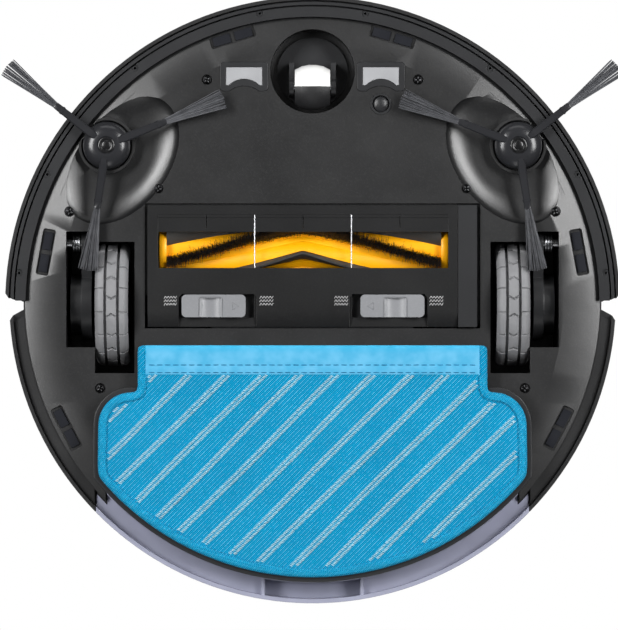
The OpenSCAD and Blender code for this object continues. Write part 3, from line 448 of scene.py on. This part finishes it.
class Shape:
    """Vertices and faces, gathered in millimetres."""

    def __init__(self):
        self.verts, self.faces = [], []

    def add(self, verts, faces):
        n = len(self.verts)
        self.verts += [tuple(v) for v in verts]
        self.faces += [tuple(n + i for i in face) for face in faces]

    def rings(self, rings, loop=False):
        """Skin over rings that have equally many points, closed by end faces unless it is a loop."""
        n, k = len(rings[0]), len(rings)
        faces = []
        for i in range(k if loop else k - 1):
            a, b = i * n, (i + 1) % k * n
            faces += [(a + j, a + (j + 1) % n, b + (j + 1) % n, b + j) for j in range(n)]
        if not loop:
            faces.append(tuple(range(n - 1, -1, -1)))
            faces.append(tuple(range((k - 1) * n, k * n)))
        self.add([p for r in rings for p in r], faces)

    def tube(self, path, radii, sides=6, up=(0, 0, 1)):
        """Round bar along a path; radii is one number or one per point."""
        path = [Vector(p) for p in path]
        if not hasattr(radii, "__len__"):
            radii = [radii] * len(path)
        rings = []
        for i, p in enumerate(path):
            way = (path[min(i + 1, len(path) - 1)] - path[max(i - 1, 0)]).normalized()
            side = way.cross(Vector(up))
            side = side.normalized() if side.length > 1e-3 else way.orthogonal().normalized()
            top = side.cross(way)
            rings.append([p + radii[i] * (math.cos(a) * side + math.sin(a) * top)
                          for a in (TAU * j / sides for j in range(sides))])
        self.rings(rings)

    def turned(self, profile, axis="z", centre=(0, 0, 0), steps=64):
        """Profile of (radius, height) points turned about an axis."""
        rings = []
        for r, h in profile:
            ring = []
            for j in range(steps):
                a = TAU * j / steps
                c, s = r * math.cos(a), r * math.sin(a)
                p = (c, s, h) if axis == "z" else (h, c, s)
                ring.append([p[k] + centre[k] for k in range(3)])
            rings.append(ring)
        self.rings(rings)

    def mesh(self, name, sharp=35):
        mesh = bpy.data.meshes.new(name)
        mesh.from_pydata([(x * MM, y * MM, z * MM) for x, y, z in self.verts], [], self.faces)
        bm = bmesh.new()
        bm.from_mesh(mesh)
        bmesh.ops.recalc_face_normals(bm, faces=bm.faces)
        bm.to_mesh(mesh)
        bm.free()
        smooth_by_angle(mesh, sharp)
        return mesh

    def piece(self, name, mat, body, slot, replaces=(), sharp=35):
        return add_piece(name, self.mesh(name, sharp), mat, body, slot, replaces)


def node_bmesh(node):
    """A CAD node's mesh to work on, with its corners joined."""
    bm = bmesh.new()
    bm.from_mesh(frame["nodes"][node].data)
    bmesh.ops.remove_doubles(bm, verts=bm.verts, dist=1e-6)
    return bm


def eased(node, width, mat=None):
    """A copy of a CAD node with its sharp edges rounded a little, shown in its place."""
    bm = node_bmesh(node)
    bmesh.ops.dissolve_limit(bm, angle_limit=math.radians(0.5), verts=bm.verts, edges=bm.edges)
    mesh = bpy.data.meshes.new(f"{node}_eased")
    bm.to_mesh(mesh)
    bm.free()
    mesh.polygons.foreach_set("use_smooth", [True] * len(mesh.polygons))
    obj = bpy.data.objects.new(f"{node}_eased", mesh)
    bpy.context.scene.collection.objects.link(obj)
    bevel = obj.modifiers.new("bevel", "BEVEL")
    bevel.width = width * MM
    bevel.segments = 2
    bevel.limit_method = "ANGLE"
    bevel.angle_limit = math.radians(40)
    bevel.use_clamp_overlap = True
    flatten = obj.modifiers.new("flatten", "WEIGHTED_NORMAL")
    flatten.weight = 100
    shaped = obj.evaluated_get(bpy.context.evaluated_depsgraph_get())
    made = bpy.data.meshes.new_from_object(shaped)
    bpy.data.objects.remove(obj)
    slot = NODE_SLOT[node]
    add_piece(f"{node}_eased", made, mat or LOOKS[slot], NODE_BODY[node], slot, [node])


# ---- Shells and covers: the CAD shapes with eased edges ----

for node_name, width in (
    ("base_plate", 0.4), ("brush_cover", 0.35), ("bumper_skin", 0.6), ("bumper_frame", 0.4),
    ("side_shell", 0.6), ("top_cover", 0.8), ("contact_bezels", 0.3), ("charge_contacts", 0.25),
    ("carpet_sensor", 0.25), ("caster_fork", 0.35), ("wheel_arm_left", 0.4), ("wheel_arm_right", 0.4),
    ("wheel_rim_left", 0.4), ("wheel_rim_right", 0.4), ("mop_plate", 0.5), ("water_tank", 0.5),
    ("top_lid", 0.5), ("turret_cap", 0.6), ("cover_flaps", 0.12), ("caster_wheel_light", 0.25),
    ("caster_wheel_dark", 0.25), ("start_button", 0.3), ("tank_release", 0.3),
    ("cover_latch_left", 0.3), ("cover_latch_right", 0.3), ("brush_gearbox", 0.3),
):
    eased(node_name, width, COVER if node_name in ("brush_cover", "cover_flaps") else None)


WIRE_R = 0.38


def make_guard_wires():
    """Round drawn wires over the roller, along the middle of the CAD bars."""
    wires = Shape()
    points = [v.co / MM for v in frame["nodes"]["guard_wires"].data.vertices]
    middle = (min(p.x for p in points) + max(p.x for p in points)) / 2
    for side in (-1, 1):
        bar = [p for p in points if (p.x - middle) * side > 0]
        x = (min(p.x for p in bar) + max(p.x for p in bar)) / 2
        z = (min(p.z for p in bar) + max(p.z for p in bar)) / 2
        ends = [(x, min(p.y for p in bar), z), (x, max(p.y for p in bar), z)]
        wires.tube(ends, WIRE_R, 14)
    wires.piece("guard_wires_round", STEEL, "guard", "bright_metal", ["guard_wires"])


make_guard_wires()


# ---- Mop cloth ----

CLOTH_BACK = 3.46           # upper face of the cloth, against the plate
CLOTH_FACE = 1.62           # its lower face, away from stripes and border
EDGE_ROLL = 5.0             # width of the sewn border
ROLL_Z = 2.3                # where the border's roll starts and ends
ROLL_DROP = 1.75            # how far the roll stands down from there
OUTLINE_STEP = 1.1
RIB_ROWS = 24               # rows of points from one stripe to the next
SEAM_Y = (37.3, 41.6)       # the two seams that hold the hook band
FILL_X = 140                # the cloth is filled with points inside these limits
FILL_Y = (24, 162)
LOOPS_X = 134               # and scrubbing loops are looked for inside these
LOOPS_Y = (43, 160)


def signed_area(loop):
    return sum(a.x * b.y - b.x * a.y for a, b in zip(loop, loop[1:] + loop[:1])) / 2


def slantwise(u, v):
    """The place that lies u along the stripes and v across them."""
    return Vector(((u + v) / math.sqrt(2), (v - u) / math.sqrt(2)))


def cloth_rim():
    """Corners of the lower face of the CAD cloth, in order round it."""
    bm = node_bmesh("mop_cloth")
    low = {f for f in bm.faces if f.normal.z < -0.9}
    rim = {}
    bm.verts.index_update()
    for e in bm.edges:
        if sum(f in low for f in e.link_faces) == 1:
            for a, b in (e.verts, reversed(e.verts)):
                rim.setdefault(a.index, []).append(b.index)
    bm.verts.ensure_lookup_table()
    first = min(rim)
    chain, last = [first], None
    while True:
        ways = [n for n in rim[chain[-1]] if n != last]
        last = chain[-1]
        if ways[0] == first:
            break
        chain.append(ways[0])
    points = [bm.verts[i].co.xy / MM for i in chain]
    bm.free()
    if signed_area(points) < 0:
        points.reverse()
    return points


def cloth_outline():
    """Evenly spaced points round the cloth, with its corners softened."""
    points = cloth_rim()
    lengths = [(b - a).length for a, b in zip(points, points[1:] + points[:1])]
    count = round(sum(lengths) / OUTLINE_STEP)
    out, i, walked = [], 0, 0.0
    for k in range(count):
        target = k * sum(lengths) / count
        while walked + lengths[i] < target:
            walked += lengths[i]
            i += 1
        share = (target - walked) / lengths[i]
        out.append(points[i].lerp(points[(i + 1) % len(points)], share))
    for _ in range(8):
        out = [(out[k - 1] + 2 * p + out[(k + 1) % count]) / 4 for k, p in enumerate(out)]
    return out


def inside(p, loop):
    """Whether p lies inside the loop of points."""
    hit = False
    for a, b in zip(loop, loop[1:] + loop[:1]):
        if (a.y > p.y) != (b.y > p.y) and p.x < a.x + (p.y - a.y) / (b.y - a.y) * (b.x - a.x):
            hit = not hit
    return hit


def inward(loop, k, d):
    """The place that lies d inward from point k of the loop."""
    way = (loop[(k + 1) % len(loop)] - loop[k - 1]).normalized()
    return loop[k] + d * Vector((-way.y, way.x))


def smoothstep(x, low, high):
    t = min(1.0, max(0.0, (x - low) / (high - low)))
    return t * t * (3 - 2 * t)


def in_band(p, grow=0.0):
    return abs(p.x) < BAND_HW + grow and p.y < BAND_REAR + grow


def stripe_gap(p):
    """Signed distance from the middle of the nearest scrubbing stripe."""
    v = (p.x + p.y) / math.sqrt(2) - STRIPE_AT
    return (v + STRIPE_STEP / 2) % STRIPE_STEP - STRIPE_STEP / 2


def cloth_height(p, d):
    """Height of the cloth's lower face at p, which lies d inside its edge."""
    half = EDGE_ROLL / 2
    wave = 0.16 * math.sin(p.x / 17 + 1.3) * math.sin(p.y / 13 + p.x / 41)
    wave += 0.1 * math.sin((p.x - p.y) / 9)
    band = smoothstep(BAND_REAR + 0.6 - p.y, 0, 0.9) * smoothstep(BAND_HW - abs(p.x), -0.5, 0.5)
    face = CLOTH_FACE + wave
    rib = math.cos(TAU * RIB_ROWS / 3 * stripe_gap(p) / STRIPE_STEP)
    face -= (1 - band) * (0.13 * rib + 0.3 * smoothstep(2.6 - abs(stripe_gap(p)), 0, 0.8))
    if band > 0:
        puff = 0.12 * math.sin(p.x / 6.3 + 0.6 * math.sin(p.x / 11)) * smoothstep(p.y, 34, 41)
        seams = sum(0.25 * math.exp(-((p.y - y) / 0.7) ** 2) for y in SEAM_Y)
        plain = 0.85 + 0.5 * wave + puff + seams
        plain -= 0.25 * smoothstep(BAND_FRONT + 4 - p.y, 0, 4)
        face = (1 - band) * face + band * plain
    if d < EDGE_ROLL and not in_band(p):
        roll = ROLL_Z - ROLL_DROP * math.sqrt(max(0.0, 1 - ((d - half) / half) ** 2))
        return roll if d < half else roll + (face - ROLL_Z) * smoothstep(d, half, EDGE_ROLL)
    if in_band(p) and d < 1.2:
        return face + 1.1 * (1 - d / 1.2) ** 2
    return face


def make_cloth():
    """The cloth as one closed sheet; returns it, its outline and the distance from its edge."""
    loop = cloth_outline()
    tree = KDTree(len(loop))
    for k, p in enumerate(loop):
        tree.insert((p.x, p.y, 0), k)
    tree.balance()

    def edge(p):
        return tree.find((p.x, p.y, 0))[2]

    depth = [0.0] * len(loop)
    points = list(loop)
    for d in (0.35, 0.8, 1.4, 2.1, 2.9, 3.7, 4.4, 5.0):
        for k in range(len(loop)):
            p = inward(loop, k, d)
            if edge(p) > 0.93 * d:
                points.append(p)
                depth.append(d)
    row = STRIPE_STEP / RIB_ROWS
    along = 1.9
    for i in range(-420, 420):
        for j in range(-110, 110):
            p = slantwise((j + 0.5 * (i % 2)) * along, STRIPE_AT + i * row)
            if abs(p.x) > FILL_X or not FILL_Y[0] < p.y < FILL_Y[1]:
                continue
            d = edge(p)
            if d > EDGE_ROLL + 0.5 and inside(p, loop):
                points.append(p)
                depth.append(d)
    out = delaunay_2d_cdt(points, [], [list(range(len(loop)))], 1, 1e-5, True)
    flat, source = out[0], out[3]
    faces = [f for f in out[2] if inside(sum((flat[i] for i in f), Vector((0, 0))) / 3, loop)]
    n = len(flat)
    cloth = Shape()
    for p, came in zip(flat, source):
        d = depth[came[0]] if came else edge(p)
        cloth.verts.append((p.x, p.y, cloth_height(p, d)))
    for p, came in zip(flat, source):
        on_rim = came and came[0] < len(loop)
        cloth.verts.append((p.x, p.y, CLOTH_BACK - (0.35 if on_rim else 0)))
    cloth.faces = [tuple(f) for f in faces] + [tuple(n + i for i in reversed(f)) for f in faces]
    uses = {}
    for f in faces:
        for a, b in zip(f, list(f[1:]) + [f[0]]):
            uses[(a, b)] = True
    # a wall wherever an edge of the lower face has no neighbour
    for a, b in uses:
        if (b, a) not in uses:
            cloth.faces.append((a, b, n + b, n + a))
    piece = cloth.piece("mop_fabric", CLOTH, "tank", "mop_fabric", ["mop_cloth"], sharp=60)
    return piece, loop, edge


def make_scrub_loops(loop, edge):
    """The scrubbing stripes: two rows of slanting pale loops each."""
    rng = random.Random(11)
    pale = Shape()
    radii = [0.14, 0.31, 0.35, 0.31, 0.14]
    reach = 0.86
    for k in range(-4, 12):
        v0 = STRIPE_AT + k * STRIPE_STEP
        wander = rng.uniform(0, TAU)
        for i in range(-160, 160):
            u0 = i * 1.04
            for side in (-1, 1):
                v = v0 + side * 1.1 + 0.35 * math.sin(u0 / 23 + wander) + rng.uniform(-0.1, 0.1)
                u = u0 + (0.56 if side > 0 else 0) + rng.uniform(-0.12, 0.12)
                p = slantwise(u, v)
                if abs(p.x) > LOOPS_X or not LOOPS_Y[0] < p.y < LOOPS_Y[1] or in_band(p, 0.6):
                    continue
                d = edge(p)
                if d < EDGE_ROLL + 1.2 or not inside(p, loop):
                    continue
                z = cloth_height(p, d) + 0.05
                lean = 0.45 + rng.uniform(-0.08, 0.08)
                a = slantwise(u - lean, v - reach).to_3d() + Vector((0, 0, z))
                b = slantwise(u + lean, v + reach).to_3d() + Vector((0, 0, z))
                mid = a.lerp(b, 0.5) - Vector((0, 0, 0.3))
                pale.tube([a, a.lerp(mid, 0.6), mid, b.lerp(mid, 0.6), b], radii, 5)
    return pale.piece("mop_scrub_loops", SCRUB, "tank", "mop_fabric")


def make_chain_stitch(loop, edge):
    """Dark thread just inside the border and along the two seams of the hook band."""
    thread = Shape()
    count = len(loop)
    depth = EDGE_ROLL + 0.3
    for k in range(0, count, 2):
        p, q = inward(loop, k, depth), inward(loop, (k + 1) % count, depth)
        if in_band(p, 1.5) or edge(p) < EDGE_ROLL:
            continue
        z = cloth_height(p, depth) - 0.12
        a, b = Vector((p.x, p.y, z)), Vector((q.x, q.y, z))
        thread.tube([a, a.lerp(b, 0.2), a.lerp(b, 0.8), b], [0.17 * 0.35, 0.17, 0.17, 0.17 * 0.35], 5)
    for y in SEAM_Y:
        x = -BAND_HW + 2
        while x < BAND_HW - 4:
            z = cloth_height(Vector((x, y)), 20)
            path = [(x, y, z + 0.1), (x + 0.5, y, z - 0.12), (x + 1.75, y, z - 0.18),
                    (x + 3, y, z - 0.12), (x + 3.5, y, z + 0.1)]
            thread.tube(path, [0.12, 0.26, 0.3, 0.26, 0.12], 5)
            x += 4.6
    return thread.piece("mop_chain_stitch", SEAM, "tank", "mop_fabric")


def make_border_threads(loop, edge):
    """Overlocking threads that run across the border."""
    blue = Shape()
    count = len(loop)
    for k in range(count):
        if in_band(inward(loop, k, EDGE_ROLL)) or edge(inward(loop, k, 4.0)) < 3.7:
            continue
        path = []
        for d in (0.1, 0.7, 1.5, 2.5, 3.5, 4.4, 5.0):
            p = inward(loop, (k + round(d / 4)) % count, d)
            path.append((p.x, p.y, cloth_height(p, d) - 0.02))
        blue.tube(path, [0.12, 0.21, 0.23, 0.23, 0.23, 0.21, 0.12], 5)
    return blue.piece("mop_border_threads", THREAD, "tank", "mop_fabric")


cloth, cloth_loop, cloth_edge = make_cloth()
threads = [make(cloth_loop, cloth_edge)
           for make in (make_scrub_loops, make_chain_stitch, make_border_threads)]
flat_area = abs(signed_area(cloth_loop))


# ---- Side brushes ----

HUB_Z = 4.6
HUB_AT = (118.6, -89.0)
HUB_R, BRISTLE_LEN = 13.8, 73.5
ARM_TURN = 8.3


def make_side_brush(side, name):
    rng = random.Random(5)
    cx, cy = side * HUB_AT[0], HUB_AT[1]
    hub, caps, hair = Shape(), Shape(), Shape()
    dome = [(4.9, 0.75), (5.2, 0.15), (6.0, 0.1), (7.6, 0.35), (9.6, 1.0), (11.4, 2.0), (12.7, 3.3),
            (13.5, 5.0), (HUB_R, 7.2), (13.4, 7.4), (0.01, 7.4)]
    hub.turned([(0.01, 0.75)] + dome, centre=(cx, cy, HUB_Z))
    hub.turned([(0.01, 7.3), (3, 7.3), (3, 22), (0.01, 22)], centre=(cx, cy, HUB_Z), steps=24)
    caps.turned([(0.01, 0.05), (2.2, 0.05), (2.6, 0.3), (2.9, 0.55), (3.6, 0.3), (4.3, 0.3), (4.7, 0.55),
                 (4.7, 0.9), (0.01, 0.9)], centre=(cx, cy, HUB_Z), steps=48)
    for i in range(3):
        a = math.radians(90 - side * ARM_TURN + 120 * i)
        out, across = Vector((math.cos(a), math.sin(a), 0)), Vector((-math.sin(a), math.cos(a), 0))

        def at(r, w, z):
            return Vector((cx, cy, HUB_Z + z)) + r * out + w * across

        rings = []
        for r, w, low, high in ((6.2, 1.2, 0.6, 2.4), (8.0, 2.0, 0.2, 3.2), (11.5, 2.45, 0.45, 3.6),
                                (16, 2.4, 0.95, 3.6), (24, 2.25, 1.0, 3.3), (31.4, 2.1, 0.95, 3.1),
                                (31.5, 2.35, 0.75, 3.3), (32.8, 2.35, 0.75, 3.3), (32.9, 2.1, 0.9, 3.05),
                                (36.6, 2.0, 0.9, 2.95), (37.5, 1.8, 1.1, 2.8)):
            ring = []
            for sx, sz in ((-0.7, 0), (0.7, 0), (1, 0.25), (1, 0.75),
                           (0.7, 1), (-0.7, 1), (-1, 0.75), (-1, 0.25)):
                ring.append(at(r, sx * w, low + sz * (high - low)))
            rings.append(ring)
        hub.rings(rings)
        # bristles in bunches, so that the tuft shows streaks and dark gaps
        for bunch in range(9):
            lean = (bunch - 4) / 4 + rng.uniform(-0.06, 0.06)
            for k in range(26):
                t = lean + rng.gauss(0, 0.05)
                t = max(-1.0, min(1.0, t))
                layer = rng.random()
                z0, z1 = 1.15 + 1.4 * layer, -1.15 + 1.7 * layer + rng.uniform(-0.1, 0.1)
                tip = BRISTLE_LEN - 0.4 - 2.0 * rng.random() ** 2 - 0.8 * abs(t)
                w1 = 5.6 * t
                path = []
                for s in (0, 0.35, 0.7, 1):
                    r = 36.4 + (tip - 36.4) * s
                    path.append(at(r, 1.6 * t + (w1 - 1.6 * t) * s ** 1.1, z0 + (z1 - z0) * s))
                hair.tube(path, [0.17, 0.17, 0.15, 0.11], 4)
    hub.piece(f"side_hub_{name}_body", HUB_PLASTIC, f"side_brush_{name}", "dark_plastic",
              [f"side_hub_{name}"], 40)
    caps.piece(f"side_hub_{name}_cap", SATIN, f"side_brush_{name}", "dark_plastic")
    hair.piece(f"side_bristles_{name}_hair", HAIR, f"side_brush_{name}", "bristle_grey",
               [f"side_bristles_{name}"], 80)


make_side_brush(1, "left")
make_side_brush(-1, "right")


# ---- Main brush ----

ROLLER_Y, ROLLER_Z = -28.8, 28.2
ROLLER_X0, ROLLER_X1 = -91.1, 80.2
APEX_X = -5.5
TWIST = 1.06                 # degrees of turn per millimetre away from the apex
CORE_R = 12.0


def roller_point(x, degrees, r):
    """A point on the roller; 0 degrees faces the floor and 90 the rear."""
    a = math.radians(degrees)
    return Vector((x, ROLLER_Y + r * math.sin(a), ROLLER_Z - r * math.cos(a)))


def vee(x, start):
    return start + TWIST * math.sqrt((x - APEX_X) ** 2 + 1.5)


def helical_rib(shape, start, section, steps=120):
    """A rib whose section is (degrees, radius) points, run along the V."""
    rings = []
    for i in range(steps + 1):
        x = ROLLER_X0 + 7 + (ROLLER_X1 - ROLLER_X0 - 13) * i / steps
        rings.append([roller_point(x, vee(x, start) + a, r) for a, r in section])
    shape.rings(rings)


def make_roller():
    rng = random.Random(7)
    core, flaps, hair = Shape(), Shape(), Shape()
    x0, x1 = ROLLER_X0, ROLLER_X1
    profile = [(0.01, x0 - 3.6), (3, x0 - 3.6), (3, x0), (9, x0), (9, x0 + 2.8), (16.0, x0 + 2.8),
               (16.4, x0 + 3.3), (16.4, x0 + 6.5), (16.0, x0 + 7), (CORE_R, x0 + 7), (CORE_R, x1 - 6),
               (16.0, x1 - 6), (16.4, x1 - 5.5), (16.4, x1 - 2.5), (16.0, x1 - 2), (9, x1 - 2), (9, x1),
               (3, x1), (3, 90.5), (0.01, 90.5)]
    core.turned([(r, x) for r, x in profile], axis="x", centre=(0, ROLLER_Y, ROLLER_Z), steps=96)
    for start in (2, 122, 242):
        # yellow holder with its bright lip, and the dark rubber flap behind it
        helical_rib(core, start, [(-34, CORE_R - 1), (-24, CORE_R + 1.4), (-8, CORE_R + 3.1), (-2, CORE_R + 3.5),
                                  (-1, CORE_R + 2.8), (-1, CORE_R - 1)])
        helical_rib(flaps, start, [(-0.8, CORE_R - 1), (-0.8, 18.2), (0.6, 19.2), (3.4, 19.2), (8, 17.6),
                                   (17, CORE_R + 2.6), (25, CORE_R - 1)])
    for start in (-56, 64, 184):
        helical_rib(core, start, [(-15, CORE_R - 1), (-10, CORE_R + 1.2), (10, CORE_R + 1.2), (15, CORE_R - 1)])
        x = x0 + 7.4
        while x < x1 - 6.4:
            for _ in range(17):
                a = vee(x, start) + rng.gauss(0, 5.2)
                lean = rng.gauss(0, 4.5)
                drift = rng.gauss(0, 0.7)
                length = 19.7 - 1.2 * rng.random() ** 2
                root = roller_point(x, a, CORE_R + 0.8)
                mid = roller_point(x + drift * 0.4, a + lean * 0.4, (CORE_R + 0.8 + length) / 2)
                tip = roller_point(x + drift, a + lean, length)
                hair.tube([root, mid, tip], [0.13, 0.11, 0.05], 3, up=(1, 0, 0))
            x += 0.42
    core.piece("roller_core_ribbed", YELLOW, "roller", "yellow_plastic", ["roller_core"], 40)
    flaps.piece("roller_rubber_flaps", FLAP_RUBBER, "roller", "black_rubber", (), 40)
    hair.piece("roller_hair", DARK_HAIR, "roller", "bristle_black", ["roller_bristles"], 80)


make_roller()


# ---- Drive wheel tyres ----

WHEEL_R, TYRE_T = 35.5, 6.5
WHEEL_X, WHEEL_Y = 115.6, 2.6


def make_tyre(side, name):
    """Tyre with three columns of blocks: straight grooves at the sides, chevrons in the middle."""
    around = 960
    across = [-9.5, -9.3, -8.8, -8.0, -7.0, -6.0, -5.0, -4.6, -4.42, -4.3, -3.0, -2.88, -2.75, -2.2, -1.4, -0.7, 0,
              0.7, 1.4, 2.2, 2.75, 2.88, 3.0, 4.3, 4.42, 4.6, 5.0, 6.0, 7.0, 8.0, 8.8, 9.3, 9.5]
    rows = []
    for i in range(around):
        a = TAU * i / around
        ring = []
        for x in across:
            t = abs(x) / 9.5
            r = WHEEL_R - 2.6 * max(0.0, (t - 0.72) / 0.28) ** 2.2 - 0.25 * t * t
            cut = 2.4 * smoothstep(0.82 - abs(abs(x) - 3.65), 0, 0.12)
            if abs(x) > 4.2:
                turn = (math.degrees(a) - 7.3) % 22.5
                gap = min(turn, 22.5 - turn) * math.radians(1) * WHEEL_R
            else:
                turn = math.degrees(a) + 7.0
                k = math.floor(turn / 18 + 0.5)
                bend = (-1 if k % 2 else 1) * (1.2 - abs(x) / 3.1 * 1.9)
                gap = abs((turn - 18 * k) * math.radians(1) * WHEEL_R - bend)
            cut = max(cut, 1.2 * smoothstep(0.62 - gap, 0, 0.3))
            ring.append((x, r - cut))
        ring += [(9.5, WHEEL_R - TYRE_T + 1), (9.1, WHEEL_R - TYRE_T), (-9.1, WHEEL_R - TYRE_T),
                 (-9.5, WHEEL_R - TYRE_T + 1)]
        rows.append([(side * (WHEEL_X + x), WHEEL_Y + r * math.sin(a), WHEEL_R - r * math.cos(a))
                     for x, r in ring])
    tyre = Shape()
    tyre.rings(rows, loop=True)
    tyre.piece(f"tyre_{name}_tread", TYRE, f"wheel_{name}", "grey_rubber", [f"wheel_tyre_{name}"], 28)


make_tyre(1, "left")
make_tyre(-1, "right")


# ---- Small marks and details ----

GUARD_Z = 8.2


def zigzag_marks():
    """Plain printed hatching beside each latch."""
    marks = Shape()
    for x0, x1 in ((-85.4, -78.2), (-30.4, -22.6), (12.6, 20.4), (67.4, 75.2)):
        for row in range(3):
            y = -1.6 + 2.0 * row
            teeth = 9
            for i in range(teeth):
                xa, xb = x0 + (x1 - x0) * i / teeth, x0 + (x1 - x0) * (i + 1) / teeth
                ya, yb = (y - 0.75, y + 0.75) if i % 2 else (y + 0.75, y - 0.75)
                low, high = GUARD_Z - 0.05, GUARD_Z + 0.03
                w = 0.17
                ring_a = [(xa - w, ya, low), (xa + w, ya, low), (xa + w, ya, high), (xa - w, ya, high)]
                ring_b = [(xb - w, yb, low), (xb + w, yb, low), (xb + w, yb, high), (xb - w, yb, high)]
                marks.rings([ring_a, ring_b])
    marks.piece("cover_hatching", PRINT, "guard", "black_plastic")


def latch_arrow(x, toward, name):
    """Raised outline of a small triangle that points towards the middle of the cover."""
    arrow = Shape()
    tip, tail, y, half, z = x + toward * 14.4, x + toward * 10.9, 3.5, 2.1, 7.66
    corners = [(tip, y), (tail, y + half), (tail, y - half)]
    for (ax, ay), (bx, by) in zip(corners, corners[1:] + corners[:1]):
        arrow.tube([(ax, ay, z), (bx, by, z)], 0.17, 6)
    arrow.piece(f"latch_arrow_{name}", GREY, f"latch_{name}", "grey_plastic")


def make_screws():
    """Dark pan heads with a cross recess, each over its CAD screw."""
    heads, marks = Shape(), Shape()
    bm = bmesh.new()
    bm.from_mesh(frame["nodes"]["base_screws"].data)
    bmesh.ops.remove_doubles(bm, verts=bm.verts, dist=1e-6)
    left = set(bm.verts)
    spots = []
    while left:
        group, edge = set(), [left.pop()]
        while edge:
            v = edge.pop()
            group.add(v)
            for e in v.link_edges:
                w = e.other_vert(v)
                if w in left:
                    left.discard(w)
                    edge.append(w)
        xs, ys = [v.co.x / MM for v in group], [v.co.y / MM for v in group]
        spots.append(((min(xs) + max(xs)) / 2, (min(ys) + max(ys)) / 2, min(v.co.z for v in group) / MM))
    bm.free()
    for n, (x, y, z) in enumerate(sorted(spots)):
        heads.turned([(0.01, 0.75), (0.9, 0.75), (1.15, 0.05), (2.0, 0.1), (2.45, 0.35), (2.6, 0.8), (2.6, 1.1),
                      (1.3, 1.2), (1.3, 9), (0.01, 9)], centre=(x, y, z), steps=40)
        for k in range(4):
            a = 0.4 + n * 0.7 + k * TAU / 4
            c, t = math.cos(a), math.sin(a)
            ring = [(0.7, -0.28, 0.0), (1.75, -0.22, 0.0), (1.75, 0.22, 0.0), (0.7, 0.28, 0.0)]
            low = [(x + c * u - t * v, y + t * u + c * v, z + 0.02) for u, v, _ in ring]
            high = [(px, py, z + 0.5) for px, py, _ in low]
            marks.rings([low, high])
    heads.piece("base_screw_heads", SCREW, "body", "steel", ["base_screws"])
    marks.piece("base_screw_crosses", STEEL, "body", "steel")


zigzag_marks()
make_screws()
latch_arrow(46.0, -1, "left")
latch_arrow(-56.9, 1, "right")
